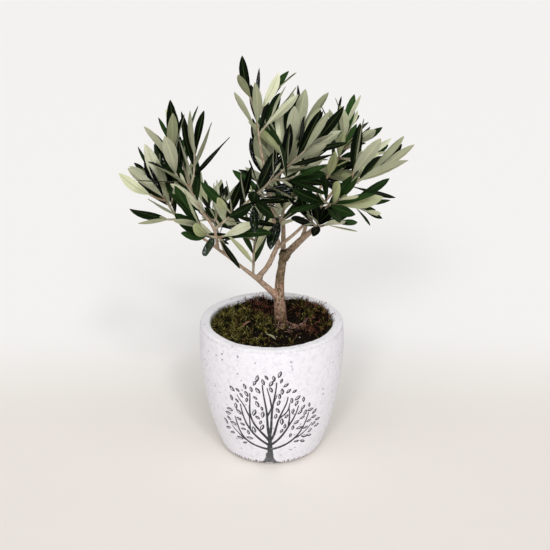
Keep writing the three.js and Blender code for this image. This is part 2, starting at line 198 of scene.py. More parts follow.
def new_mesh(name: str, points: Array, faces: list, edges: Sequence = ()) -> bpy.types.Mesh:
    """A mesh with corners given in millimetres."""
    mesh = bpy.data.meshes.new(name)
    mesh.from_pydata((np.asarray(points) * MM).tolist(), edges, faces)
    return mesh


def make_piece(
    name: str,
    points: Array,
    faces: Sequence[Sequence[int]],
    materials: Sequence[Material],
    face_slots: Sequence[int] | None = None,
    crease: float = 180.0,
) -> Piece:
    """A smooth-shaded mesh object at the origin.

    Args:
        name: Name of the piece.
        points: Corners in millimetres.
        faces: Corner numbers of each face.
        materials: Finishes of the piece.
        face_slots: Which finish each face has.
        crease: Angle in degrees past which an edge stays sharp.

    Returns:
        The object, linked to the scene.
    """
    mesh = new_mesh(name, points, [tuple(map(int, face)) for face in faces])
    for material in materials:
        mesh.materials.append(material)
    if face_slots is not None:
        mesh.polygons.foreach_set("material_index", np.asarray(face_slots, np.int32))
    mesh.shade_smooth()
    if crease < 180:
        mesh.set_sharp_from_angle(angle=math.radians(crease))
    return link(name, mesh)


def add_values(piece: Piece, name: str, values: Array) -> None:
    """Stores a number, or a row of three, at each corner of a piece."""
    kind, key = ("FLOAT", "value") if np.ndim(values) == 1 else ("FLOAT_VECTOR", "vector")
    piece.data.attributes.new(name, kind, "POINT").data.foreach_set(key, np.float32(values).ravel())


def evaluated_mesh(piece: Piece) -> bpy.types.Mesh:
    """The mesh of a piece with its modifiers carried out."""
    graph = bpy.context.evaluated_depsgraph_get()
    source = piece.evaluated_get(graph)
    return bpy.data.meshes.new_from_object(source, preserve_all_data_layers=True, depsgraph=graph)


def remove(piece: Piece) -> None:
    """Takes a helper object and its mesh out of the scene."""
    mesh = piece.data
    bpy.data.objects.remove(piece)
    bpy.data.meshes.remove(mesh)


def settle(piece: Piece, nodes: Sequence[str] = ()) -> None:
    """Ties a finished piece to the frame and reports it.

    Args:
        piece: The finished piece.
        nodes: Nodes of the part that it stands for.
    """
    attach(piece, BODY)
    if nodes:
        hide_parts(*nodes)
    piece.data.calc_loop_triangles()
    LOG.info("%s: %d triangles", piece.name, len(piece.data.loop_triangles))


# Finishes


class Nodes:
    """A tree of nodes, with a short way to add and join them."""

    def __init__(self, tree: bpy.types.NodeTree) -> None:
        """Takes up a tree."""
        self.tree = tree

    def add(self, kind: str, values: dict | None = None, **settings: object) -> bpy.types.Node:
        """Adds a node.

        Args:
            kind: Type of node.
            values: What its inputs hold or are joined to.
            settings: Its other properties.

        Returns:
            The node.
        """
        node = self.tree.nodes.new(kind)
        for key, value in settings.items():
            setattr(node, key, value)
        self.feed(node, values or {})
        return node

    def feed(self, node: bpy.types.Node, values: dict) -> None:
        """Fills a node's inputs.

        Args:
            node: The node.
            values: What each input holds, or the output that it is joined to.
        """
        for key, value in values.items():
            if isinstance(value, Socket):
                self.tree.links.new(value, node.inputs[key])
            else:
                node.inputs[key].default_value = value


class Paint(Nodes):
    """A material's nodes, with short ways to make noise and to lay colours over each other."""

    def __init__(self, name: str) -> None:
        """Starts a material.

        Args:
            name: Its name.
        """
        self.material = bpy.data.materials.new(name)
        self.material.use_nodes = True
        super().__init__(self.material.node_tree)
        self.place = self.add("ShaderNodeTexCoord").outputs["Object"]
        self.colour: Socket | None = None

    def part(self, vector: Socket, axis: str) -> Socket:
        """One axis of a vector."""
        return self.add("ShaderNodeSeparateXYZ", {"Vector": vector}).outputs[axis]

    def stored(self, name: str, output: str = "Fac") -> Socket:
        """A value that is stored on the mesh."""
        return self.add("ShaderNodeAttribute", attribute_name=name).outputs[output]

    def stretched(self, vector: Socket, scale: Point, turn: Point = (0, 0, 0)) -> Socket:
        """A vector with each axis scaled, and then turned."""
        values = {"Vector": vector, "Rotation": turn, "Scale": scale}
        return self.add("ShaderNodeMapping", values).outputs["Vector"]

    def noise(self, vector: Socket, scale: float, detail: float) -> Socket:
        """Cloudy noise of so many waves a unit."""
        values = {"Vector": vector, "Scale": scale, "Detail": detail, "Roughness": 0.6}
        return self.add("ShaderNodeTexNoise", values).outputs["Fac"]

    def shifted(self, vector: Socket, share: float, scale: float) -> Socket:
        """A vector pushed about by a share of a noise."""
        push = self.add("ShaderNodeTexNoise", {"Vector": vector, "Scale": scale})
        return self.mix(share, vector, push.outputs["Color"])

    def dots(self, vector: Socket, scale: float, rare: Span, size: Span, most: float = 1) -> Socket:
        """Dots in some cells, by spans of a cell's number and of the distance from its middle."""
        cells = self.add("ShaderNodeTexVoronoi", {"Vector": vector, "Scale": scale}).outputs
        shown = self.span(cells["Color"], rare, (0, most))
        return self.times(self.span(cells["Distance"], size, (1, 0)), shown)

    def ramp(self, value: Socket, *stops: tuple[float, Colour]) -> Socket:
        """Colours along a value.

        Args:
            value: The value.
            stops: Places along it, each with its colour.

        Returns:
            The colour at each place.
        """
        node = self.add("ShaderNodeValToRGB", {"Fac": value})
        while len(node.color_ramp.elements) < len(stops):
            node.color_ramp.elements.new(0.5)
        for element, (at, colour) in zip(node.color_ramp.elements, stops):
            element.position = at
            element.color = (*colour, 1)
        return node.outputs["Color"]

    def span(self, value: Socket, start: Span, end: Span) -> Socket:
        """A value moved smoothly from one span to another, and held inside it."""
        values = {"Value": value, 1: start[0], 2: start[1], 3: end[0], 4: end[1]}
        node = self.add("ShaderNodeMapRange", values, interpolation_type="SMOOTHSTEP")
        return node.outputs["Result"]

    def mix(self, share: Socket | float, first: Socket | Colour, second: Socket | Colour) -> Socket:
        """Two colours mixed by a share of the second."""
        colours = (c if isinstance(c, Socket) else (*c, 1) for c in (first, second))
        values = dict(zip((0, 6, 7), (share, *colours)))
        return self.add("ShaderNodeMix", values, data_type="RGBA").outputs[2]

    def over(self, colour: Socket | Colour, share: Socket) -> None:
        """Lays a colour over what is there, by a share."""
        self.colour = self.mix(share, self.colour, colour)

    def math(self, way: str, first: Socket | float, second: Socket | float = 0.0) -> Socket:
        """Two values joined in a named way."""
        return self.add("ShaderNodeMath", {0: first, 1: second}, operation=way).outputs[0]

    def times(self, first: Socket, second: Socket | float) -> Socket:
        """Two values multiplied."""
        return self.math("MULTIPLY", first, second)

    def plus(self, first: Socket, second: Socket) -> Socket:
        """Two values added."""
        return self.math("ADD", first, second)

    def less(self, first: Socket | float, second: Socket | float) -> Socket:
        """The first value less the second."""
        return self.math("SUBTRACT", first, second)

    def bump(self, height: Socket, depth: float, under: Socket | None = None) -> Socket:
        """A relief whose height goes up to a depth in metres, on top of another."""
        values = {"Height": height, "Strength": 1.0, "Distance": depth}
        values |= {"Normal": under} if under else {}
        return self.add("ShaderNodeBump", values).outputs["Normal"]

    def done(self, **values: object) -> Material:
        """Joins the colour and other values to the shader, with spaces in names as underscores."""
        values = {"Base Color": self.colour} | {k.replace("_", " "): v for k, v in values.items()}
        self.feed(self.tree.nodes["Principled BSDF"], values)
        return self.material


@dataclass(frozen=True)
class Cement:
    """White cement with a lilac cast, dark specks, a painted highlight on the rim, a grey rim line
    and a dark wash in the drawing.
    """

    light: Colour = (0.825, 0.812, 0.865)
    shade: Colour = (0.710, 0.690, 0.745)
    grey: Colour = (0.40, 0.39, 0.405)
    speck: Colour = (0.10, 0.09, 0.095)
    wash: Colour = (0.032, 0.034, 0.038)
    worn_wash: Colour = (0.17, 0.17, 0.18)
    dust: Colour = (0.46, 0.43, 0.40)
    # Colour and heights of the painted highlight on the rim's top
    rim: Colour = (0.975, 0.955, 0.985)
    painted_rim_light_band: Span = (0.136, 0.1395)
    edge: float = 0.1378
    edge_band: Span = (0.0004, 0.0022)
    foot_band: Span = (0.003, 0.011)
    root_band: Span = (0.004, 0.034)

    def material(self) -> Material:
        """The finish as a material.

        Returns:
            The material.
        """
        paint = Paint("cement")
        place, height = paint.place, paint.part(paint.place, "Z")
        cloud, fine = paint.noise(place, 210, 8), paint.noise(place, 480, 6)
        paint.colour = paint.ramp(cloud, (0.30, self.shade), (0.52, self.light))
        paint.over(self.shade, paint.span(fine, (0.54, 0.72), (0, 0.5)))
        specks = paint.dots(paint.shifted(place, 0.0035, 420), 190, (0.65, 0.68), (0.10, 0.20))
        paint.over(self.speck, paint.times(specks, 0.85))
        scratch = paint.noise(paint.stretched(place, (1, 0.25, 0.6), (0.5, 0.9, 0.3)), 310, 7)
        paint.over(self.grey, paint.span(scratch, (0.66, 0.74), (0, 0.6)))
        smear = paint.noise(paint.stretched(place, (1, 1, 0.35)), 95, 7)
        paint.over(self.dust, paint.span(smear, (0.64, 0.76), (0, 0.45)))
        # Painted highlight: the rim's top is painted lighter than the wall
        upper = paint.less(height, paint.times(cloud, 0.004))
        paint.over(self.rim, paint.span(upper, self.painted_rim_light_band, (0, 0.7)))
        off_edge = paint.math("ABSOLUTE", paint.less(height, self.edge))
        patchy = paint.span(fine, (0.36, 0.64), (0.12, 0.36))
        paint.over(self.grey, paint.times(paint.span(off_edge, self.edge_band, (1, 0)), patchy))
        foot = paint.plus(height, paint.times(fine, 0.006))
        paint.over(self.dust, paint.span(foot, self.foot_band, (0.55, 0)))
        ragged = paint.times(paint.less(paint.noise(place, 900, 3), 0.5), 0.7)
        inked = paint.span(paint.plus(paint.stored("stroke"), ragged), (-0.10, 0.16), (1, 0))
        worn = paint.span(paint.noise(place, 260, 4), (0.52, 0.70), (0, 0.75))
        worn = paint.plus(worn, paint.span(height, self.root_band, (0.6, 0)))
        paint.over(paint.mix(worn, self.wash, self.worn_wash), inked)
        relief = paint.bump(paint.less(1.0, specks), 0.0005, paint.bump(fine, 0.0006))
        return paint.done(Roughness=paint.span(cloud, (0.3, 0.7), (0.92, 0.76)), Normal=relief)


@dataclass(frozen=True)
class Earth:
    """Dark damp potting soil."""

    dark: Colour = (0.002, 0.0012, 0.0010)
    brown: Colour = (0.014, 0.0075, 0.005)

    def material(self) -> Material:
        """The finish as a material.

        Returns:
            The material.
        """
        paint = Paint("earth")
        grain = paint.noise(paint.place, 520, 6)
        paint.colour = paint.ramp(grain, (0.38, self.dark), (0.70, self.brown))
        rough, relief = paint.span(grain, (0.3, 0.7), (0.75, 0.98)), paint.bump(grain, 0.0012)
        return paint.done(Roughness=rough, Specular_IOR_Level=0.08, Normal=relief)


@dataclass(frozen=True)
class Strand:
    """A finish for strands with painted shade at the root, that differ from one to the next."""

    name: str
    # Colours at the root, where shade is painted, in the middle and at the tip
    root: Colour
    middle: Colour
    tip: Colour
    own: float
    clump: float

    def material(self) -> Material:
        """The finish as a material.

        Returns:
            The material.
        """
        paint = Paint(self.name)
        climb = paint.times(paint.stored("climb"), 1 - self.own)
        tone = paint.plus(climb, paint.times(paint.stored("shade"), self.own))
        grain = paint.noise(paint.place, 700, 3)
        tone = paint.plus(tone, paint.times(paint.less(grain, 0.5), 0.35))
        clump = paint.less(paint.noise(paint.place, 230, 3), 0.53)
        tone = paint.plus(tone, paint.times(clump, self.clump))
        # Painted shade: each strand darkens down to its root by how high it climbs
        paint.colour = paint.ramp(tone, (0.2, self.root), (0.58, self.middle), (0.95, self.tip))
        return paint.done(Roughness=0.8, Specular_IOR_Level=0.08, Normal=paint.bump(grain, 0.0002))


@dataclass(frozen=True)
class Bark:
    """Beige olive bark with streaks along the limb, flakes, dark pores and a dark pruning scar in
    painted shade.
    """

    dark: Colour = (0.026, 0.015, 0.008)
    brown: Colour = (0.085, 0.054, 0.025)
    olive: Colour = (0.150, 0.104, 0.053)
    beige: Colour = (0.270, 0.195, 0.115)
    pale: Colour = (0.640, 0.480, 0.375)
    rosy: Colour = (0.510, 0.375, 0.285)
    foot_dark: Colour = (0.115, 0.056, 0.036)
    flush: Colour = (0.440, 0.245, 0.175)
    # Dark cut wood of the pruning scar, with the painted shade of its hollow
    scar: Colour = (0.018, 0.012, 0.008)
    mossy: Colour = (0.088, 0.064, 0.028)
    flush_band: Span = (0.168, 0.186)
    flake_band: Span = (0.166, 0.180)
    foot_dark_band: Span = (0.140, 0.170)

    def material(self) -> Material:
        """The finish as a material.

        Returns:
            The material.
        """
        paint = Paint("bark")
        height, young = paint.part(paint.place, "Z"), paint.stored("young")
        grain = paint.stored("grain", "Vector")
        patch = paint.noise(grain, 160, 5)
        paint.colour = paint.ramp(patch, (0.36, self.brown), (0.51, self.olive), (0.70, self.beige))
        paint.over(self.rosy, paint.times(young, 0.7))
        blotch = paint.span(paint.noise(grain, 330, 4), (0.44, 0.56), (0, 0.85))
        paint.over(self.flush, paint.times(blotch, paint.span(height, self.flush_band, (1, 0))))
        streak = paint.noise(paint.stretched(grain, (1, 1, 0.4)), 700, 7)
        paint.over(self.pale, paint.span(streak, (0.52, 0.68), (0, 0.65)))
        paint.over(self.dark, paint.span(streak, (0.34, 0.46), (0.75, 0)))
        upper = paint.span(height, self.flush_band, (0, 0.65))
        paint.over(self.mossy, paint.times(paint.span(young, (0.0, 0.35), (1, 0)), upper))
        ragged = paint.stretched(paint.shifted(grain, 0.004, 520), (1, 1, 0.8))
        flakes = paint.dots(ragged, 420, (0.50, 0.62), (0.25, 0.55))
        paint.over(self.pale, paint.times(flakes, paint.span(height, self.flake_band, (0.5, 0.15))))
        ragged = paint.stretched(paint.shifted(grain, 0.003, 520), (1, 1, 0.6))
        pores = paint.dots(ragged, 480, (0.60, 0.66), (0.08, 0.30), 0.6)
        paint.over(self.dark, pores)
        # Darker and redder towards the trunk's foot
        ragged_height = paint.plus(height, paint.times(patch, 0.02))
        paint.over(self.foot_dark, paint.span(ragged_height, self.foot_dark_band, (0.65, 0)))
        # Pruning scar: dark cut wood with the painted shade of its hollow
        paint.over(self.scar, paint.stored("scar"))
        relief = paint.bump(paint.less(1.0, pores), 0.0004, paint.bump(streak, 0.0006))
        return paint.done(Roughness=0.8, Specular_IOR_Level=0.25, Normal=relief)


@dataclass(frozen=True)
class TwigSkin:
    """Pale grey-green skin of young twigs, browner in places."""

    pale: Colour = (0.46, 0.42, 0.31)
    brown: Colour = (0.27, 0.19, 0.115)

    def material(self) -> Material:
        """The finish as a material.

        Returns:
            The material.
        """
        paint = Paint("twig_skin")
        patch = paint.noise(paint.place, 130, 5)
        paint.colour = paint.ramp(patch, (0.36, self.brown), (0.60, self.pale))
        relief = paint.bump(paint.noise(paint.place, 1500, 3), 0.00025)
        return paint.done(Roughness=0.72, Normal=relief)


@dataclass(frozen=True)
class LeafSkin:
    """One side of a leaf: its colour, one that it drifts to, its gloss, vein and scale flecks
    painted as glints.
    """

    name: str
    colour: Colour
    drift: Colour
    roughness: float
    shine: float
    grain: float
    coat: float = 0.0
    vein: float = 0.0
    # Share of pale scale flecks painted as glints
    scales_and_glints: float = 0.0
    vein_colour: Colour = (0.10, 0.15, 0.045)
    # Colour of the pale scale flecks painted as glints
    scale_glint_colour: Colour = (0.60, 0.66, 0.70)

    def material(self) -> Material:
        """The finish as a material.

        Returns:
            The material.
        """
        paint = Paint(self.name)
        blade = paint.stored("blade", "Vector")
        own, cloud = paint.part(blade, "Z"), paint.noise(paint.place, 85, 4)
        tone = paint.plus(paint.times(own, 0.65), paint.times(cloud, 0.35))
        paint.colour = paint.ramp(tone, (0.20, self.colour), (0.80, self.drift))
        broad = paint.noise(paint.stretched(blade, (2.2, 2.8, 91.0)), 1.0, 3)
        gloss = paint.span(broad, (0.50, 0.60), (0.02, 1))
        if self.vein:
            aside = paint.math("ABSOLUTE", paint.part(blade, "Y"))
            paint.over(self.vein_colour, paint.span(aside, (0.02, 0.16), (self.vein, 0)))
        # Painted glints: pale scale flecks on the glossiest dark leaves stand in for highlights
        if self.scales_and_glints:
            scale_glint = paint.times(gloss, paint.span(own, (0.09, 0.11), (self.scales_and_glints, 0)))
            glint_fleck = paint.noise(paint.stretched(blade, (9.0, 4.0, 53.0)), 1.6, 4)
            scale_glint = paint.times(scale_glint, paint.span(glint_fleck, (0.53, 0.60), (0, 1)))
            paint.over(self.scale_glint_colour, scale_glint)
        relief = paint.bump(paint.noise(paint.place, 1100, 4), 0.0001 * self.grain)
        relief = paint.bump(broad, 0.0005 * self.grain, relief)
        rough = paint.span(broad, (0.3, 0.7), (self.roughness - 0.06, self.roughness + 0.08))
        finish = {"Roughness": rough, "Normal": relief, "Specular_IOR_Level": self.shine}
        if self.coat:
            finish |= {"Coat_Weight": paint.times(gloss, self.coat), "Coat_Roughness": 0.13}
            finish |= {"Coat_IOR": 1.45, "Coat_Normal": relief}
        return paint.done(**finish)


@dataclass(frozen=True)
class Grit:
    """Rough grains of one colour that varies a little."""

    name: str
    light: Colour
    dark: Colour

    def material(self) -> Material:
        """The finish as a material.

        Returns:
            The material.
        """
        paint = Paint(self.name)
        cloud = paint.noise(paint.place, 640, 5)
        paint.colour = paint.ramp(cloud, (0.36, self.dark), (0.62, self.light))
        return paint.done(Roughness=0.9, Specular_IOR_Level=0.06, Normal=paint.bump(cloud, 0.0006))


@dataclass(frozen=True)
class Sweep:
    """The plain floor: warm and pale in front, nearly white behind."""

    front: Colour = (0.805, 0.765, 0.72)
    back: Colour = (0.90, 0.89, 0.88)

    def material(self) -> Material:
        """The finish as a material.

        Returns:
            The material.
        """
        paint = Paint("sweep")
        depth = paint.span(paint.part(paint.place, "Y"), (0.02, 0.28), (0, 1))
        paint.colour = paint.ramp(depth, (0, self.front), (1, self.back))
        return paint.done(Roughness=0.95, Specular_IOR_Level=0.1)


# Trees of geometry nodes


class GeometryTree(Nodes):
    """A tree of geometry nodes with named inputs, and a way to carry it out on a piece."""

    def __init__(self, name: str, **inputs: str) -> None:
        """Starts a tree that takes and gives geometry.

        Args:
            name: Name of the tree.
            inputs: Its other inputs, each with its kind of socket.
        """
        super().__init__(bpy.data.node_groups.new(name, "GeometryNodeTree"))
        sockets = self.tree.interface
        sockets.new_socket("Geometry", in_out="OUTPUT", socket_type="NodeSocketGeometry")
        self.identifiers: dict[str, str] = {}
        for key, kind in {"Geometry": "Geometry", **inputs}.items():
            item = sockets.new_socket(key, in_out="INPUT", socket_type="NodeSocket" + kind)
            self.identifiers[key] = item.identifier
        self.given = self.add("NodeGroupInput").outputs
        self.exit = self.add("NodeGroupOutput")

    def draw(self, kind: str, low: int, values: Sequence[object]) -> Socket:
        """A random value of a kind, whose least and most go to the inputs from a number on."""
        limits = {low: values[0], low + 1: values[1], "Seed": self.given["Seed"]}
        return self.add("FunctionNodeRandomValue", limits, data_type=kind).outputs[low // 2]

    def close(self, geometry: Socket) -> None:
        """Realizes what the tree made, gives it a finish and ends the tree.

        Args:
            geometry: What the tree made.
        """
        for kind in ("RealizeInstances", "SetShadeSmooth"):
            geometry = self.add("GeometryNode" + kind, {"Geometry": geometry}).outputs["Geometry"]
        painted = {"Geometry": geometry, "Material": self.given["Finish"]}
        geometry = self.add("GeometryNodeSetMaterial", painted).outputs["Geometry"]
        self.feed(self.exit, {"Geometry": geometry})

    def carry_out(self, source: Piece, name: str, values: dict[str, object]) -> Piece:
        """Runs the tree on an object and keeps the result as a plain piece.

        Args:
            source: Object that the tree starts from. It stays as it was.
            name: Name of the new piece.
            values: Values of the named inputs.

        Returns:
            The new piece.
        """
        modifier = source.modifiers.new(name, "NODES")
        modifier.node_group = self.tree
        for key, value in values.items():
            modifier[self.identifiers[key]] = value
        mesh = evaluated_mesh(source)
        mesh.name = name
        source.modifiers.remove(modifier)
        return link(name, mesh)


def twig_tree() -> GeometryTree:
    """A tree that sweeps a round section along lines, with the girth that is stored on them.

    Returns:
        The tree.
    """
    tree = GeometryTree("twig_sweep", Sides="Int", Finish="Material")
    lines = tree.add("GeometryNodeMeshToCurve", {"Mesh": tree.given["Geometry"]})
    girth = tree.add("GeometryNodeInputNamedAttribute", {"Name": "girth"}, data_type="FLOAT")
    circle = {"Resolution": tree.given["Sides"], "Radius": 1.0}
    section = tree.add("GeometryNodeCurvePrimitiveCircle", circle)
    sweep = {
        "Curve": lines.outputs["Curve"],
        "Profile Curve": section.outputs["Curve"],
        "Scale": girth.outputs["Attribute"],
        "Fill Caps": True,
    }
    tree.close(tree.add("GeometryNodeCurveToMesh", sweep).outputs["Mesh"])
    return tree


def scatter_tree() -> GeometryTree:
    """A tree that strews forms over a surface, as densely as a stored share says.

    Returns:
        The tree.
    """
    numbers = ("Spacing", "Density", "Smallest", "Largest", "Tilt")
    others = {"Share": "String", "Forms": "Collection", "Seed": "Int", "Finish": "Material"}
    tree = GeometryTree("strew", **dict.fromkeys(numbers, "Float"), **others)
    given, tilt = tree.given, tree.given["Tilt"]
    share = tree.add("GeometryNodeInputNamedAttribute", {"Name": given["Share"]}, data_type="FLOAT")
    strewn = {
        "Mesh": given["Geometry"],
        "Distance Min": given["Spacing"],
        "Density Max": given["Density"],
        "Density Factor": share.outputs["Attribute"],
        "Seed": given["Seed"],
    }
    points = tree.add("GeometryNodeDistributePointsOnFaces", strewn, distribute_method="POISSON")
    back = tree.add("ShaderNodeMath", {0: tilt, 1: -1.0}, operation="MULTIPLY").outputs[0]
    low = tree.add("ShaderNodeCombineXYZ", {0: back, 1: back, 2: 0.0}).outputs[0]
    high = tree.add("ShaderNodeCombineXYZ", {0: tilt, 1: tilt, 2: FULL_TURN}).outputs[0]
    more = tree.draw("FLOAT_VECTOR", 0, (low, high))
    turn = {"Rotation": points.outputs["Rotation"], "Rotate By": more}
    turned = tree.add("FunctionNodeRotateRotation", turn, rotation_space="LOCAL")
    whole = {"Collection": given["Forms"], "Separate Children": True, "Reset Children": True}
    placing = {
        "Points": points.outputs["Points"],
        "Instance": tree.add("GeometryNodeCollectionInfo", whole).outputs["Instances"],
        "Pick Instance": True,
        "Instance Index": tree.draw("INT", 4, (0, 99)),
        "Rotation": turned.outputs["Rotation"],
        "Scale": tree.draw("FLOAT", 2, (given["Smallest"], given["Largest"])),
    }
    placed = tree.add("GeometryNodeInstanceOnPoints", placing).outputs["Instances"]
    shade = {"Geometry": placed, "Name": "shade", "Value": tree.draw("FLOAT", 2, (0.0, 1.0))}
    store = "GeometryNodeStoreNamedAttribute"
    shaded = tree.add(store, shade, data_type="FLOAT", domain="INSTANCE")
    tree.close(shaded.outputs["Geometry"])
    return tree


# Growth


@dataclass(frozen=True)
class Bow:
    """A centreline that bows from a start to a tip."""

    start: Array
    control: Array
    tip: Array

    @classmethod
    def between(cls, start: Sequence[float], tip: Sequence[float], bow: Sequence[float]) -> "Bow":
        """The line between two points whose middle is pulled aside by a bow."""
        first, last = np.asarray(start, float), np.asarray(tip, float)
        return cls(first, (first + last) / 2 + np.asarray(bow, float), last)

    def at(self, share: Array | float) -> Array:
        """Points at shares of the way along."""
        t = np.asarray(share, float)[..., None]
        return (1 - t) ** 2 * self.start + 2 * t * (1 - t) * self.control + t**2 * self.tip

    def ahead(self, share: Array | float) -> Array:
        """Directions at shares of the way along."""
        t = np.asarray(share, float)[..., None]
        return unit((1 - t) * (self.control - self.start) + t * (self.tip - self.control))

    def length(self) -> float:
        """Length along the line."""
        points = self.at(np.linspace(0, 1, 201))
        return float(np.linalg.norm(np.diff(points, axis=0), axis=1).sum())


def square_to(direction: Array) -> tuple[Array, Array]:
    """Two directions square to a given one, the second square to both."""
    across = unit(np.cross(direction, UP if abs(direction[2]) < 0.9 else np.array([1.0, 0.0, 0.0])))
    return across, np.cross(direction, across)


def frames_along(line: Bow, shares: Array) -> tuple[Array, Array, Array]:
    """Points of a line with two directions square to it that don't turn along it.

    Args:
        line: The centreline.
        shares: Shares of the way along.

    Returns:
        Points, and the two directions at each.
    """
    points, aheads = line.at(shares), line.ahead(shares)
    across = square_to(aheads[0])[0]
    sides = []
    for ahead in aheads:
        across = unit(across - ahead * (across @ ahead))
        sides.append(across)
    return points, np.array(sides), np.cross(aheads, np.array(sides))


def tube(line: Bow, steps: int, sides: int, radius_at: RadiusAt) -> list[Array]:
    """Rings of a tube along a centreline.

    Args:
        line: The centreline.
        steps: Number of steps along it.
        sides: Corners of each ring.
        radius_at: Radius at a share of the way along and at angles round it.

    Returns:
        The rings, from start to tip.
    """
    shares = np.linspace(0, 1, steps + 1)
    angles = np.arange(sides) * FULL_TURN / sides
    rings = []
    for share, centre, across, beside in zip(shares, *frames_along(line, shares)):
        radius = radius_at(share, angles) * np.ones(sides)
        out = (np.cos(angles) * radius)[:, None] * across
        rings.append(centre + out + (np.sin(angles) * radius)[:, None] * beside)
    return rings


@cache
def loft_faces(sizes: tuple[int, ...]) -> Array:
    """Triangles of a closed skin over rings.

    Args:
        sizes: Number of corners of each ring, where a ring of one corner is a point.

    Returns:
        Corner numbers of each triangle.
    """
    starts = np.concatenate([[0], np.cumsum(sizes)])
    faces = []
    for row, (low, high) in enumerate(zip(sizes, sizes[1:])):
        for k in range(max(low, high)):
            a, b = starts[row] + k % low, starts[row] + (k + 1) % low
            c, d = starts[row + 1] + (k + 1) % high, starts[row + 1] + k % high
            if low > 1:
                faces.append((a, b, c))
            if high > 1:
                faces.append((a, c, d))
    last = starts[-2]
    faces += [(0, k, k - 1) for k in range(2, sizes[0])]
    faces += [(last, last + k - 1, last + k) for k in range(2, sizes[-1])]
    return np.array(faces)


@cache
def loft_edges(sizes: tuple[int, ...]) -> Array:
    """Edges of such a skin, each once."""
    faces = loft_faces(sizes)
    pairs = np.concatenate([faces[:, [0, 1]], faces[:, [1, 2]], faces[:, [2, 0]]])
    return np.unique(np.sort(pairs, axis=1), axis=0)


@dataclass(frozen=True)
class Skin:
    """A closed skin that can be tested against others."""

    points: Array
    faces: Array
    edges: Array
    low: Array
    high: Array

    @classmethod
    def over(cls, rings: Sequence[Array]) -> "Skin":
        """The skin over rings of corners."""
        sizes, points = tuple(len(ring) for ring in rings), np.concatenate(rings)
        return cls(points, loft_faces(sizes), loft_edges(sizes), points.min(0), points.max(0))

    def pierces(self, other: "Skin") -> bool:
        """Whether this skin pierces another.

        Args:
            other: The other skin.

        Returns:
            Whether an edge of this one passes through a face of the other.
        """
        start = self.points[self.edges[:, 0]][:, None]
        along = self.points[self.edges[:, 1]][:, None] - start
        a, b, c = (other.points[other.faces[:, k]][None] for k in range(3))
        one, two, gap = b - a, c - a, start - a
        cut = np.cross(along, two)
        scale = (one * cut).sum(-1)
        scale = np.where(np.abs(scale) < 1e-12, np.inf, scale)
        turned = np.cross(gap, one)
        u, v = (gap * cut).sum(-1) / scale, (along * turned).sum(-1) / scale
        t = (two * turned).sum(-1) / scale
        inside = (u >= 0) & (v >= 0) & (u + v <= 1) & (t >= 0) & (t <= 1) & np.isfinite(scale)
        return bool(inside.any())

    def crosses(self, other: "Skin") -> bool:
        """Whether the two skins cut each other."""
        apart = (self.low > other.high).any() or (other.low > self.high).any()
        return not apart and (self.pierces(other) or other.pierces(self))


@dataclass(frozen=True)
class LimbPlan:
    """One bough: the limb it leaves and how far up, its tip, its bow, its radii and its taper."""

    name: str
    parent: str
    at: float
    tip: Point
    bow: Point
    radii: Span
    taper: float = 1.0


@dataclass(frozen=True)
class Shoot:
    """A shoot of a spray: how far up the stem it leaves, its tip and its bow."""

    at: float
    tip: Point
    bow: Point | None = None


@dataclass(frozen=True)
class SprayPlan:
    """One mass of foliage: where its stem leaves which limb, its leaf length, seed and shoots."""

    name: str
    limb: str
    at: float
    leaf: float
    seed: int
    tip: Point
    bow: Point
    shoots: tuple[Shoot, ...]


BOUGHS = (
    LimbPlan("left_bough", "trunk", 0.42, (-87, -8, 245), (3, -2, 4), (3.7, 1.4), 3),
    LimbPlan("left_riser", "left_bough", 0.66, (-66, -8, 255), (8, -1, 3), (1.6, 1.25)),
    LimbPlan("inner_bough", "left_bough", 0.2, (7, -1, 222), (-2, 0, -2), (3, 2.3)),
    LimbPlan("upper_bough", "inner_bough", 0.97, (-10, 3, 315), (1, -2, 0), (2, 1.3)),
    LimbPlan("cross_bough", "inner_bough", 0.9, (58, -24, 283), (2, -4, -6), (1.8, 1.3)),
    LimbPlan("right_bough", "trunk", 0.92, (44, -1, 239), (-1, 2, 1), (4.1, 2.3)),
    LimbPlan("right_riser", "right_bough", 0.6, (51, 22, 278), (-4, 3, 0), (1.9, 1.4)),
    LimbPlan("back_bough", "trunk", 0.84, (10, 56, 256), (3, 6, -8), (2.9, 1.6)),
)

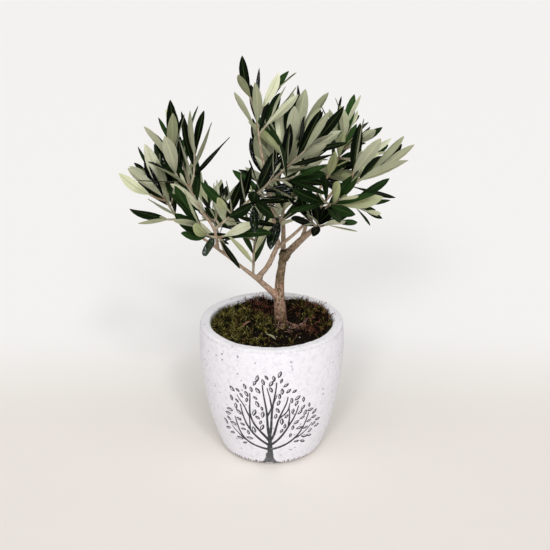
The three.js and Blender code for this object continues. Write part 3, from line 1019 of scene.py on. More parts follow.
SPRAYS = (
    SprayPlan("leaves_far_left", "left_bough", 1, 48, 31033, (-103, -10, 273), (0, 0, -1), (
        Shoot(0.85, (-116, -15, 277)), Shoot(0.7, (-106, -2, 287)), Shoot(0.2, (-100, -16, 252)),
    )),
    SprayPlan("leaves_left_top", "left_riser", 1, 48, 31033, (-81, -9, 285), (0, 0, 1), (
        Shoot(0.95, (-93, -14, 319), (-8, -2, -8)), Shoot(0.8, (-72, -7, 314), (3, 0, -4)),
        Shoot(0.55, (-90, 19, 315)),
    )),
    SprayPlan("leaves_left_front", "left_riser", 0.3, 50, 30004, (-62, -27, 240), (0, 0, -1), (
        Shoot(0.75, (-70, -32, 257)), Shoot(0.6, (-44, -27, 239)),
        Shoot(0.4, (-47, -27, 235), (0, 0, 2)),
    )),
    SprayPlan("leaves_diagonal", "left_riser", 0.5, 46, 31031, (37, -44, 333), (1, 4, -3), (
        Shoot(0.06, (-55, 4, 247)), Shoot(0.2, (-42, -20, 264)), Shoot(0.42, (-16, -46, 276)),
        Shoot(0.62, (21, -54, 306)), Shoot(0.8, (31, -14, 324)),
    )),
    SprayPlan("leaves_top", "upper_bough", 1, 41, 31004, (-15, 5, 352), (0, 0, 0), (
        Shoot(0.95, (-20, 2, 367)), Shoot(0.85, (-3, 9, 365)), Shoot(0.4, (1, 16, 345)),
    )),
    SprayPlan("leaves_centre", "upper_bough", 0.1, 48, 31021, (18, 20, 323), (9, 6, 0), (
        Shoot(0.2, (7, -10, 249)), Shoot(0.85, (28, 32, 327)), Shoot(0.6, (35, 24, 298)),
        Shoot(0.7, (6, 36, 318)),
    )),
    SprayPlan("leaves_right_top", "right_riser", 1, 40, 52097, (70, 22, 332), (11, 2, -2), (
        Shoot(0.6, (81, 14, 318)), Shoot(0.45, (93, 40, 298)), Shoot(0.5, (62, 40, 322)),
    )),
    SprayPlan("leaves_right_far", "cross_bough", 1, 50, 83524, (100, -8, 299), (2, 0, -4), (
        Shoot(0.3, (79, -23, 311)), Shoot(0.6, (86, 4, 291)),
    )),
    SprayPlan("leaves_right_mid", "cross_bough", 0.75, 44, 30010, (63, -46, 282), (0, -2, -3), (
        Shoot(0.5, (74, -38, 277)), Shoot(0.6, (45, -60, 288)),
    )),
    SprayPlan("leaves_right_low", "right_bough", 1, 42, 118, (52, -9, 244), (0, 0, -1), (
        Shoot(0.2, (36, -28, 257), (1, -2, -4)), Shoot(0.45, (43, -29, 253)),
        Shoot(0.5, (65, 5, 241), (0, 0, 1)),
    )),
    SprayPlan("leaves_low_back", "left_bough", 0.26, 50, 31008, (-12, 34, 229), (-8, -2, 2), (
        Shoot(0.7, (-33, 18, 228)), Shoot(0.8, (4, 45, 234)),
    )),
    SprayPlan("leaves_back_right", "back_bough", 1, 49, 27056, (35, 75, 290), (-3, 2, 2), (
        Shoot(0.4, (6, 65, 287)), Shoot(0.6, (53, 57, 274)),
    )),
    SprayPlan("leaves_back_left", "back_bough", 0.7, 47, 30023, (-10, 66, 290), (-4, 3, -5), (
        Shoot(0.4, (-18, 50, 257)), Shoot(0.7, (10, 60, 313)),
    )),
    SprayPlan("leaves_back_far", "left_bough", 0.58, 43, 30377, (-69, 45, 253), (4, 4, -6), (
        Shoot(0.6, (-79, 27, 263)), Shoot(0.7, (-52, 55, 243)),
    )),
)


@dataclass
class Limb:
    """A limb: its centreline, its radius along and round it, and the skin to keep clear of."""

    name: str
    line: Bow
    radius_at: RadiusAt
    skin: Skin


@dataclass
class Twig:
    """A stem, shoot or spur with its skin and its radii at foot and tip."""

    spray: int
    line: Bow
    skin: Skin
    radii: Span
    nodes: list[float] = field(default_factory=list)


@dataclass
class Leaf:
    """A leaf held at a node, with the skins of its blade and of all of it."""

    spray: int
    twig: int
    base: Array
    along: Array
    upper: Array
    length: float
    curl: float
    blade: Skin | None = None
    whole: Skin | None = None


@dataclass
class Tree:
    """The olive tree: trunk, boughs and the twigs and leaves that grow on from them."""

    soil_top: float = 122.0
    trunk_foot: Point = (9.6, 15.0, 118.0)
    trunk_top: Point = (12.6, 12.0, 209.0)
    trunk_bow: Point = (-5.0, 0.0, 0.0)
    trunk_radii: Span = (6.1, 4.2)
    trunk_taper: float = 1.2
    flare: float = 1.0
    flare_height: float = 9.0
    flare_at: float = 11.0
    flare_lobes: int = 5
    lobe_depth: float = 0.35
    waist: float = 0.9
    waist_from: Span = (0.36, 0.56)
    waist_to: Span = (1.0, 0.8)
    # Steps along a skin and corners round it
    trunk_mesh: tuple[int, int] = (14, 12)
    bough_step: float = 12.0
    bough_sides: int = 7
    twig_step: float = 24.0
    twig_sides: int = 4
    stem_radius: float = 1.35
    twig_radius: float = 1.2
    shoot_sag: float = 0.12
    clearance: float = 0.8
    internode: float = 10.0
    first_node: float = 2.5
    last_node: float = 6.0
    leaf_width: float = 0.225
    leaf_thickness: float = 0.9
    petiole_width: float = 0.8
    leaf_curl: float = 0.09
    curl_back: float = 0.7
    leaf_spread: float = 0.3
    leaf_skipped: float = 0.03
    tip_leaf: float = 0.92
    sun_turn: float = 0.3
    lean_at_tip: float = 17.0
    lean_step: float = 8.0
    lean_most: float = 48.0
    lean_spread: float = 16.0
    turn_spread: float = 0.6
    blade_from: float = 0.2
    stations: tuple[Span, ...] = ((0, 0), (0.5, 1), (0.82, 0.76), (1, 0))
    tries: tuple[Span, ...] = ((0, 0), (10, 0), (-9, 0), (0, 24), (0, -24), (16, 14), (-12, -16))
    reach_low: Point = (-148.0, -84.0, 196.0)
    reach_high: Point = (136.0, 112.0, 404.0)
    spur_seed: int = 4021
    spur_share: float = 0.1
    spur_lowest: float = 0.05
    spur_length: Span = (11.0, 20.0)
    spur_leaf: float = 0.5
    spur_lean: float = 46.0
    spur_turn: float = 0.5
    spur_bow: float = 0.1
    spur_clear_from: float = 0.3
    spur_skin: Span = (0.7, 0.5)
    spur_radii: Span = (0.8, 0.5)
    bud_seed: int = 733
    bud_leaf: Span = (8.0, 13.0)
    bud_lean: Span = (5.0, 14.0)
    knee_at: float = 0.2
    knee_push: Point = (-4.0, 0.0, 4.5)
    knee_size: float = 11.0
    limbs: dict[str, Limb] = field(default_factory=dict)
    twigs: list[Twig] = field(default_factory=list)
    leaves: list[Leaf] = field(default_factory=list)

    def grow(self) -> None:
        """Grows limbs, twigs, leaves, spurs and buds, in that order."""
        self.grow_limbs()
        for spray, plan in enumerate(SPRAYS):
            self.grow_twigs(spray, plan)
        draws = [Draws(plan.seed) for plan in SPRAYS]
        for number, twig in enumerate(list(self.twigs)):
            self.grow_leaves(number, SPRAYS[twig.spray].leaf, draws[twig.spray])
        self.grow_spurs()
        self.grow_buds()

    def trunk_radius(self, line: Bow, grow: float, share: float, angles: Array) -> Array:
        """The trunk's radius, with a lobed flare where it meets the ground, and a waist.

        Args:
            line: Its centreline.
            grow: What is added all round.
            share: Share of the way along.
            angles: Angles round it.

        Returns:
            The radius at each angle.
        """
        height = line.at(share)[2] - self.soil_top - self.flare_at
        flare = self.flare * math.exp(-max(height, 0) / self.flare_height)
        foot, top = self.trunk_radii
        lobes = 1 + self.lobe_depth * np.cos(self.flare_lobes * angles)
        slim = self.waist * smooth_step(*self.waist_from, share)
        slim = slim * smooth_step(*self.waist_to, share)
        return foot + (top - foot) * share**self.trunk_taper + flare * lobes - slim + grow

    def bough_radius(self, plan: LimbPlan, grow: float, share: float, angles: Array) -> Array:
        """A bough's radius, which narrows to its tip, for angles as for the trunk."""
        foot, tip = plan.radii
        return tip + (foot - tip) * (1 - share) ** plan.taper + grow + 0 * angles

    def grow_limbs(self) -> None:
        """Grows the trunk and the boughs."""
        line = Bow.between(self.trunk_foot, self.trunk_top, self.trunk_bow)
        cleared = partial(self.trunk_radius, line, self.clearance)
        skin = Skin.over(tube(line, *self.trunk_mesh, cleared))
        self.limbs["trunk"] = Limb("trunk", line, partial(self.trunk_radius, line, 0), skin)
        for plan in BOUGHS:
            line = Bow.between(self.limbs[plan.parent].line.at(plan.at), plan.tip, plan.bow)
            steps = max(5, round(line.length() / self.bough_step))
            cleared = partial(self.bough_radius, plan, self.clearance)
            skin = Skin.over(tube(line, steps, self.bough_sides, cleared))
            self.limbs[plan.name] = Limb(plan.name, line, partial(self.bough_radius, plan, 0), skin)

    def bent(self, points: Array) -> Array:
        """Points moved along with the knee that the left bough makes at its fork."""
        gap = points - self.limbs["left_bough"].line.at(self.knee_at)
        far = (gap**2).sum(-1, keepdims=True)
        return points + np.exp(-far / (2 * self.knee_size**2)) * np.array(self.knee_push)

    def twig_skin(self, line: Bow, foot: float, tip: float) -> Skin:
        """The skin of a twig with such radii, grown by the clearance."""
        steps, grow = max(2, round(line.length() / self.twig_step)), self.clearance
        rings = tube(line, steps, self.twig_sides, lambda t, _: foot + (tip - foot) * t + grow)
        return Skin.over(rings)

    def add_twig(self, spray: int, line: Bow, foot: float, bearer: Limb | None) -> None:
        """Adds a twig, or skips it where it would touch a limb or another spray's twig.

        Args:
            spray: Number of its spray.
            line: Its centreline.
            foot: Its radius at the foot.
            bearer: The limb it leaves.
        """
        skin = self.twig_skin(line, foot, self.twig_radius)
        around = [limb.skin for limb in self.limbs.values() if limb is not bearer]
        around += [twig.skin for twig in self.twigs if twig.spray != spray]
        if not any(skin.crosses(other) for other in around):
            self.twigs.append(Twig(spray, line, skin, (foot, self.twig_radius)))

    def grow_twigs(self, spray: int, plan: SprayPlan) -> None:
        """Grows a spray's stem and shoots.

        Args:
            spray: Number of the spray.
            plan: Its plan.
        """
        limb = self.limbs[plan.limb]
        stem = Bow.between(limb.line.at(plan.at), plan.tip, plan.bow)
        self.add_twig(spray, stem, self.stem_radius, limb)
        for shoot in plan.shoots:
            foot = stem.at(shoot.at)
            sag = (0, 0, -self.shoot_sag * float(np.linalg.norm(foot - np.array(shoot.tip))))
            line = Bow.between(foot, shoot.tip, shoot.bow or sag)
            self.add_twig(spray, line, self.twig_radius, None)

    def leaf_skin(self, leaf: Leaf, start: float) -> Skin:
        """A leaf's skin, flat above and keeled below, grown by half the clearance.

        Args:
            leaf: The leaf.
            start: Share of its length from which on it is skinned.

        Returns:
            The skin.
        """
        grow = self.clearance / 2
        side = np.cross(leaf.along, leaf.upper)
        thick = self.leaf_thickness / 2 + grow
        rings = []
        for row, (share, width) in enumerate(self.stations):
            reach = start if row == 0 else share
            blade = start / self.stations[1][0] if row == 0 else width
            centre = leaf.base + leaf.along * leaf.length * reach
            centre = centre + leaf.upper * leaf.curl * leaf.length * reach**2
            if row == len(self.stations) - 1:
                rings.append((centre + leaf.along * grow)[None])
                continue
            half = max(self.petiole_width / 2, blade * leaf.length * self.leaf_width / 2) + grow
            lifted, keel = centre + leaf.upper * thick, centre - leaf.upper * thick
            rings.append(np.array([lifted - side * half, lifted + side * half, keel]))
        return Skin.over(rings)

    def held(
        self, number: int, share: float, lean: float, turn: float, length: float, curl: float
    ) -> Leaf:
        """A leaf at a node of a twig, turned somewhat to the light.

        Args:
            number: Number of the twig.
            share: How far along it the node is.
            lean: Angle of the leaf from the twig.
            turn: Angle of the leaf round the twig.
            length: Its length.
            curl: How far it curls, as a share of its length.

        Returns:
            The leaf, without its skins.
        """
        twig = self.twigs[number]
        axis = twig.line.ahead(share)
        across, beside = square_to(axis)
        out = across * math.cos(turn) + beside * math.sin(turn)
        along = axis * math.cos(lean) + out * math.sin(lean)
        upper = axis * math.sin(lean) - out * math.cos(lean)
        upper = upper + (UP - upper) * self.sun_turn
        upper = unit(upper - along * (upper @ along))
        return Leaf(twig.spray, number, twig.line.at(share), along, upper, length, curl)

    def is_clear(self, leaf: Leaf) -> bool:
        """Whether a leaf fits in.

        Args:
            leaf: The leaf.

        Returns:
            Whether it keeps clear of the limbs, the other twigs and the leaves placed so far.
        """
        tip = leaf.blade.points[-1]
        if (tip < self.reach_low).any() or (tip > self.reach_high).any():
            return False
        pairs = [(leaf.whole, limb.skin) for limb in self.limbs.values()]
        for number, twig in enumerate(self.twigs):
            if number != leaf.twig:
                pairs.append((leaf.blade if twig.spray == leaf.spray else leaf.whole, twig.skin))
        for other in self.leaves:
            own = other.spray == leaf.spray
            pairs.append((leaf.blade, other.blade) if own else (leaf.whole, other.whole))
        return not any(one.crosses(two) for one, two in pairs)

    def grow_leaves(self, number: int, length: float, draws: Draws) -> None:
        """Grows a twig's leaves in opposite pairs, each pair a quarter turn from the next.

        Args:
            number: Number of the twig.
            length: Usual length of a leaf.
            draws: The run of numbers.
        """
        first = FULL_TURN * draws.next()
        reach = self.twigs[number].line.length()
        count = max(1, math.floor((reach - self.first_node - self.last_node) / self.internode) + 1)
        for k in range(count):
            share = 1 - (self.first_node + k * self.internode) / reach
            self.twigs[number].nodes.append(share)
            usual = min(self.lean_at_tip + self.lean_step * k, self.lean_most)
            for half in (0, 1):
                skip, lean, turn, size, bend = (draws.next() for _ in range(5))
                if skip < self.leaf_skipped:
                    continue
                lean = usual + self.lean_spread * (lean - 0.5)
                turn = first + math.pi / 2 * k + math.pi * half + self.turn_spread * (turn - 0.5)
                long = length * (self.tip_leaf if k == 0 else 1)
                long *= 1 + self.leaf_spread * (size - 0.5)
                curl = self.leaf_curl * (2 * bend - self.curl_back)
                for more_lean, more_turn in self.tries:
                    tried = math.radians(lean + more_lean), turn + math.radians(more_turn)
                    leaf = self.held(number, share, *tried, long, curl)
                    leaf.blade, leaf.whole = (self.leaf_skin(leaf, s) for s in (self.blade_from, 0))
                    if self.is_clear(leaf):
                        self.leaves.append(leaf)
                        break

    def grow_spurs(self) -> None:
        """Grows short spurs with small leaves out of some leaves' axils."""
        draws, lean = Draws(self.spur_seed), math.radians(self.spur_lean)
        low, high = self.spur_length
        for leaf in list(self.leaves):
            chance, long, turn = (draws.next() for _ in range(3))
            if chance > self.spur_share:
                continue
            twig = self.twigs[leaf.twig]
            share = 1 - np.linalg.norm(leaf.base - twig.line.tip) / twig.line.length()
            axis = twig.line.ahead(max(self.spur_lowest, share))
            out = leaf.along - axis * (leaf.along @ axis)
            out = unit(out + self.spur_turn * (turn - 0.5) * np.cross(axis, out))
            reach = low + (high - low) * long
            tip = leaf.base + (axis * math.cos(lean) + out * math.sin(lean)) * reach
            line = Bow.between(leaf.base, tip, out * self.spur_bow * reach)
            clear_line = Bow.between(line.at(self.spur_clear_from), tip, (0, 0, 0))
            skin = self.twig_skin(clear_line, *self.spur_skin)
            around = [limb.skin for limb in self.limbs.values()]
            around += [other.skin for other in self.twigs if other is not twig]
            around += [other.blade for other in self.leaves if other is not leaf]
            if any(skin.crosses(other) for other in around):
                continue
            self.twigs.append(Twig(leaf.spray, line, skin, self.spur_radii))
            self.grow_leaves(len(self.twigs) - 1, SPRAYS[leaf.spray].leaf * self.spur_leaf, draws)

    def grow_buds(self) -> None:
        """Ends each twig in a pair of young leaves that still stand nearly closed."""
        draws = Draws(self.bud_seed)
        for number in range(len(self.twigs)):
            turn = FULL_TURN * draws.next()
            for half in (0, 1):
                length = draws.between(*self.bud_leaf)
                lean = math.radians(draws.between(*self.bud_lean))
                leaf = self.held(number, 1.0, lean, turn + math.pi * half, length, 0.0)
                self.leaves.append(leaf)


# Sub-assemblies


@dataclass(frozen=True)
class Stroke:
    """A brush stroke on the pot's front: its points and its half width at each."""

    points: Array
    halves: Array

    def box(self) -> tuple[Array, Array]:
        """The low and high corner of its points."""
        return self.points.min(0), self.points.max(0)

    def distance(self, places: Array) -> Array:
        """Distance from the stroke's edge.

        Args:
            places: Places on the pot's front.

        Returns:
            The distance of each, less than 0 inside the stroke.
        """
        start, along = self.points[:-1], np.diff(self.points, axis=0)
        gap = places[:, None] - start
        share = np.clip((gap * along).sum(-1) / np.maximum((along**2).sum(-1), 1e-9), 0, 1)
        off = np.linalg.norm(gap - share[..., None] * along, axis=-1)
        return (off - self.halves[:-1] - share * np.diff(self.halves)).min(1)


@dataclass(frozen=True)
class LeafMark:
    """A small leaf on the pot's front, drawn as an outline with one half filled."""

    middle: Array
    turn: float
    long: float
    wide: float
    line: float = 0.42
    filled_to: float = 0.05

    def box(self) -> tuple[Array, Array]:
        """The low and high corner of a box round it."""
        return self.middle - self.long, self.middle + self.long

    def distance(self, places: Array) -> Array:
        """Distance from the mark's edge.

        Args:
            places: Places on the pot's front.

        Returns:
            The distance of each, less than 0 inside the mark.
        """
        gap = places - self.middle
        along = gap @ np.array([math.cos(self.turn), math.sin(self.turn)])
        aside = gap @ np.array([-math.sin(self.turn), math.cos(self.turn)])
        edge = self.wide * (1 - np.minimum((along / self.long) ** 2, 4))
        off = (np.abs(aside) - edge) / np.hypot(1, 2 * self.wide * along / self.long**2)
        filled = np.maximum(off, aside + self.filled_to * self.wide)
        return np.minimum(np.abs(off) - self.line, filled)


@dataclass
class Drawing:
    """The tree on the pot's front: boughs that fan out from a low fork, loose leaves and grass."""

    middle: float = -2.0
    ground: float = 3.0
    fork: float = 27.0
    trunk_foot: float = 4.0
    # Half width at the foot, and how much thinner it gets
    trunk_halves: Span = (3.3, 0.9)
    leader_halves: Span = (2.3, 1.3)
    root_halves: Span = (2.2, 1.3)
    roots: tuple[Span, ...] = ((-1, 8.6), (1, 9.2), (-1, 4.4), (1, 3.8))
    root_rise: float = 14.0
    root_gap: float = 1.6
    boughs: int = 8
    fan: float = 78.0
    fan_at_tip: float = 14.0
    bough_length: float = 78.0
    bough_steps: int = 24
    # Half width at the start and at the end
    bough_halves: Span = (1.55, 0.6)
    side_halves: Span = (1.05, 0.45)
    leader: float = 21.0
    leaves: int = 112
    leaf_tries: int = 9000
    leaf_size: Span = (2.7, 1.15)
    leaf_off: Span = (2.4, 9.0)
    leaf_gap: float = 6.0
    spread: Span = (57.0, 61.0)
    centre: float = 62.0
    blades: int = 34
    lawn: float = 80.0
    bare_lawn: float = 9.0
    blade_halves: Point = (0.5, 0.4, 0.15)
    farthest: float = 3.0
    seed: int = 29
    strokes: list[Stroke] = field(default_factory=list)
    marks: list[LeafMark] = field(default_factory=list)

    def sketch(self) -> None:
        """Lays out the strokes and the leaf marks."""
        draws = Draws(self.seed)
        self.sketch_trunk()
        for k in range(self.boughs):
            self.sketch_bough(2 * k / (self.boughs - 1) - 1, k, draws)
        self.sketch_leaves(draws)
        self.sketch_grass(draws)

    def add_stroke(self, x: Array, z: Array, halves: Array) -> None:
        """Adds a stroke through places across and up, with its half widths."""
        self.strokes.append(Stroke(np.stack([x, z], 1), halves))

    def sketch_trunk(self) -> None:
        """Draws the trunk and the roots it spreads into."""
        rise, run = np.linspace(0, 1, 12), np.linspace(0, 1, 9)
        half, thinner = self.trunk_halves
        height = self.ground + self.trunk_foot + (self.fork - self.ground) * rise
        self.add_stroke(self.middle + 0.6 * np.sin(3 * rise), height, half - thinner * rise**0.7)
        half, thinner = self.leader_halves
        height = self.fork + self.leader * rise
        self.add_stroke(self.middle + 0.5 * np.sin(4 * rise), height, half - thinner * rise)
        half, thinner = self.root_halves
        for side, reach in self.roots:
            x = self.middle + side * (self.root_gap + reach * run**2)
            height = self.ground + self.root_rise * (1 - run) ** 1.6
            self.add_stroke(x, height, half - thinner * run)

    def sketch_bough(self, lean: float, number: int, draws: Draws) -> None:
        """Draws a bough that swings out and up, and the side bough that leaves it.

        Args:
            lean: Where it stands in the fan, from -1 at the left to 1 at the right.
            number: Its number, which picks the side of the side bough.
            draws: The run of numbers.
        """
        start = np.array([self.middle + 0.4 * lean, self.fork - 3 + self.leader * (1 - abs(lean))])
        long = self.bough_length * (0.82 - 0.04 * abs(lean)) * draws.between(0.88, 1.06)
        out, up = math.radians(self.fan) * lean, math.radians(self.fan_at_tip) * lean
        sway = draws.between(-0.24, 0.24)
        main = self.sweep(start, (out, up), sway, long, self.bough_halves)
        fork = round(draws.between(0.40, 0.62) * (len(main) - 1))
        side = 1 if number % 2 else -1
        ahead = main[fork + 1] - main[fork]
        heading = math.atan2(ahead[0], ahead[1]) + side * math.radians(draws.between(24, 36))
        long *= draws.between(0.34, 0.46)
        self.sweep(main[fork], (heading, heading * 0.4), -sway, long, self.side_halves)

    def sweep(self, start: Array, turns: Span, sway: float, long: float, halves: Span) -> Array:
        """Draws one curved stroke.

        Args:
            start: Where it begins.
            turns: Its first and last heading from upright.
            sway: How far it wavers.
            long: Its length.
            halves: Its half width at both ends.

        Returns:
            Its points.
        """
        share = np.linspace(0, 1, self.bough_steps + 1)
        (out, up), (first, last) = turns, halves
        heading = out + (up - out) * share**0.8 + sway * np.sin(FULL_TURN * share)
        steps = long / self.bough_steps * np.stack([np.sin(heading), np.cos(heading)], 1)
        points = np.concatenate([start[None], start + np.cumsum(steps[:-1], 0)])
        self.strokes.append(Stroke(points, first + (last - first) * share**0.7))
        return points

    def sketch_leaves(self, draws: Draws) -> None:
        """Strews leaf marks near the boughs, none too close to another.

        Args:
            draws: The run of numbers.
        """
        (wide, high), (near, far) = self.spread, self.leaf_off
        for _ in range(self.leaf_tries):
            if len(self.marks) == self.leaves:
                return
            x, z = draws.between(-1, 1), draws.between(-0.55, 1)
            turn, size = draws.between(-0.75, 0.75), draws.between(0.85, 1.4)
            place = np.array([self.middle + wide * x, self.centre + high * z])
            if x * x + z * z > 1 or abs(x) < 0.75 * -z:
                continue
            off = min(float(stroke.distance(place[None])[0]) for stroke in self.strokes)
            gaps = (np.linalg.norm(mark.middle - place) for mark in self.marks)
            if not near < off < far or any(gap < self.leaf_gap for gap in gaps):
                continue
            turn += math.atan2(place[1] - self.fork, place[0] - self.middle)
            self.marks.append(LeafMark(place, turn, *(side * size for side in self.leaf_size)))

    def sketch_grass(self, draws: Draws) -> None:
        """Draws short blades of grass along the ground, away from the trunk.

        Args:
            draws: The run of numbers.
        """
        for k in range(self.blades):
            x = self.middle + self.lawn * ((k + draws.next()) / self.blades - 0.5)
            rise, lean = draws.between(1.2, 4.6), draws.between(-0.5, 0.5)
            if abs(x - self.middle) > self.bare_lawn:
                across = x + np.array([0, 0.3, 1]) * lean * rise
                up = self.ground + np.array([0, 0.6, 1]) * rise
                self.add_stroke(across, up, np.array(self.blade_halves))

    def distance(self, places: Array) -> Array:
        """Distance from the nearest drawn edge.

        Args:
            places: Places on the pot's front.

        Returns:
            The distance of each, less than 0 inside, and no more than the farthest.
        """
        result = np.full(len(places), self.farthest)
        for shape in (*self.strokes, *self.marks):
            low, high = shape.box()
            near = np.all((places > low - 5) & (places < high + 5), axis=1)
            result[near] = np.minimum(result[near], shape.distance(places[near]))
        return np.clip(result, -self.farthest, self.farthest)


def curve(*knots: Span, steps: int = 200) -> Array:
    """Points of a smooth curve that is drawn towards its middle knots.

    Args:
        knots: Its start, the knots that it is drawn towards, and its end.
        steps: Number of points.

    Returns:
        The points, one row each.
    """
    share = np.linspace(0, 1, steps)[:, None]
    points = [np.array(knot) * np.ones_like(share) for knot in knots]
    while len(points) > 1:
        points = [a + (b - a) * share for a, b in zip(points, points[1:])]
    return points[0]


@dataclass
class Pot:
    """The cement pot with its uneven wall, rounded rim and engraved drawing."""

    height: float = 140.0
    inner_end: float = 117.0
    neck: float = 126.0
    # Curves of the wall from the foot on: knots of radius and height, the last inside
    wall: tuple[tuple[Span, ...], ...] = (
        ((46, 0), (51.5, 0.8), (54, 8)),
        ((54, 8), (61.5, 28), (72.5, 66), (73, 112)),
        ((73, 112), (73, 126), (72.2, 137)),
        ((72.2, 137), (72, 140), (69, 140)),
        ((69, 140), (64.6, 140)),
        ((64.6, 140), (61.6, 140), (61.6, 137)),
        ((61.6, 137), (61.6, 117)),
    )
    row_step: float = 0.62
    fine_turn: float = 51.0
    fine_columns: int = 196
    coarse_columns: int = 64
    engraving: float = 0.55
    engraved_edge: Span = (0.12, -0.45)
    unevenness: float = 0.35
    inner_unevenness: float = 0.4
    noise_radius: float = 60.0
    rim_zone: float = 12.0
    rim_dents: float = 0.28
    drawing: Drawing = field(default_factory=Drawing)
    finish: Cement = Cement()

    def profile(self) -> Array:
        """The wall's profile.

        Returns:
            Radius and height at even steps, from the foot to the rim and down inside.
        """
        dense = np.concatenate([curve(*knots) for knots in self.wall])
        run = np.concatenate([[0], np.cumsum(np.linalg.norm(np.diff(dense, axis=0), axis=1))])
        rows = np.linspace(0, run[-1], round(run[-1] / self.row_step))
        return np.stack([np.interp(rows, run, dense[:, k]) for k in (0, 1)], 1)

    def uneven(
        self, radius: Array, turn: Array, height: Array, outside: Array
    ) -> tuple[Array, Array]:
        """Makes the wall wavy and the rim dented.

        Args:
            radius: Radius at each corner.
            turn: Angle at each corner.
            height: Height at each corner.
            outside: Whether each corner is on the outside.

        Returns:
            The new radius and height.
        """
        around = self.noise_radius
        circle = np.stack([np.sin(turn) * around, -np.cos(turn) * around, height], 1)
        wave = soft_noise(circle, 34, 3) + 0.5 * soft_noise(circle, 13, 5)
        wave = self.unevenness * wave * smooth_step(1, 9, height)
        rim = smooth_step(self.height - self.rim_zone, self.height, height)
        radius = radius + wave * np.where(outside, 1, self.inner_unevenness)
        radius = radius + self.rim_dents * rim * soft_noise(circle, 4.5, 9)
        dip = 0.35 + 0.35 * soft_noise(circle * [1, 1, 0], 20, 8) + 0.2 * soft_noise(circle, 4, 7)
        return radius, height - rim * dip

    def build(self) -> None:
        """Makes the pot."""
        self.drawing.sketch()
        profile = self.profile()
        fine = math.radians(self.fine_turn)
        turns = np.concatenate([
            np.linspace(-fine, fine, self.fine_columns, endpoint=False),
            np.linspace(fine, FULL_TURN - fine, self.coarse_columns, endpoint=False),
        ])
        rows, columns = len(profile), len(turns)
        radius, height = (np.repeat(profile[:, k], columns) for k in (0, 1))
        turn = np.tile(turns, rows)
        top_row = int(np.argmax(profile[:, 1] >= self.height - 0.01))
        outside = np.repeat(np.arange(rows) < top_row, columns)
        front = outside & (np.abs(turn) <= fine) & (height < self.neck) & (height > 0.5)
        stroke = np.full(len(height), self.drawing.farthest)
        stroke[front] = self.drawing.distance(np.stack([radius * turn, height], 1)[front])
        radius, height = self.uneven(radius, turn, height, outside)
        radius = radius - self.engraving * smooth_step(*self.engraved_edge, stroke)
        points = np.stack([radius * np.sin(turn), -radius * np.cos(turn), height], 1)
        points = np.concatenate([points, [[0, 0, 0], [0, 0, self.inner_end]]])
        number = np.arange(rows * columns).reshape(rows, columns)
        base = fan_faces(rows * columns, number[0, ::-1])
        lid = fan_faces(rows * columns + 1, number[-1])
        faces = [*ring_faces(number), *base, *lid]
        piece = make_piece("cement_pot", points, faces, [self.finish.material()], crease=50)
        add_values(piece, "stroke", np.concatenate([stroke, [self.drawing.farthest] * 2]))
        settle(piece, ["pot"])


Form = tuple[Array, list]


@dataclass(frozen=True)
class Strewn:
    """One kind of growth or grit that is strewn over the earth."""

    name: str
    share: str
    form: str
    spacing: float
    density: float
    sizes: Span
    tilt: float
    seed: int
    finish: Strand | Grit
    slot: Slot
    nodes: tuple[str, ...] = ()


GREEN = Strand(
    "moss_green", (0.0010, 0.0009, 0.0004), (0.0115, 0.0101, 0.0023), (0.3, 0.262, 0.056), 0.65, 2.8
)
BRIGHT = Strand(
    "moss_tips", (0.004, 0.004, 0.001), (0.085, 0.075, 0.017), (0.74, 0.66, 0.23), 0.8, 2.2
)
BROWN = Strand(
    "moss_dry", (0.002, 0.0007, 0.0005), (0.022, 0.0062, 0.0041), (0.34, 0.130, 0.088), 0.7, 2.4
)
ROOT = Strand("root_fibre", (0.05, 0.019, 0.014), (0.36, 0.18, 0.132), (0.86, 0.57, 0.47), 0.8, 0.5)
CRUMB = Grit("soil_crumb", (0.022, 0.014, 0.010), (0.002, 0.0013, 0.001))
PEARL = Grit("perlite", (0.86, 0.84, 0.80), (0.55, 0.52, 0.47))

STREWN = (
    Strewn(
        "moss_green", "mossy", "frond", 1.2, 1.3e6, (0.6, 1.2), 0.5, 3, GREEN, Slot.MOSS, ("moss",)
    ),
    Strewn("moss_tips", "tipped", "frond", 1.6, 3.8e5, (0.5, 1.05), 0.5, 4, BRIGHT, Slot.MOSS),
    Strewn("moss_dry", "dry", "frond", 1.25, 9e5, (0.6, 1.25), 0.6, 5, BROWN, Slot.MOSS),
    Strewn("root_fibres", "fibrous", "fibre", 1.5, 5e5, (0.6, 1.2), 0.35, 8, ROOT, Slot.SOIL),
    Strewn("soil_crumbs", "loose", "crumb", 1.3, 4e5, (0.35, 1.1), 1.2, 9, CRUMB, Slot.SOIL),
    Strewn("perlite", "loose", "crumb", 9.0, 7e3, (0.7, 1.3), 1.2, 14, PEARL, Slot.SOIL),
)


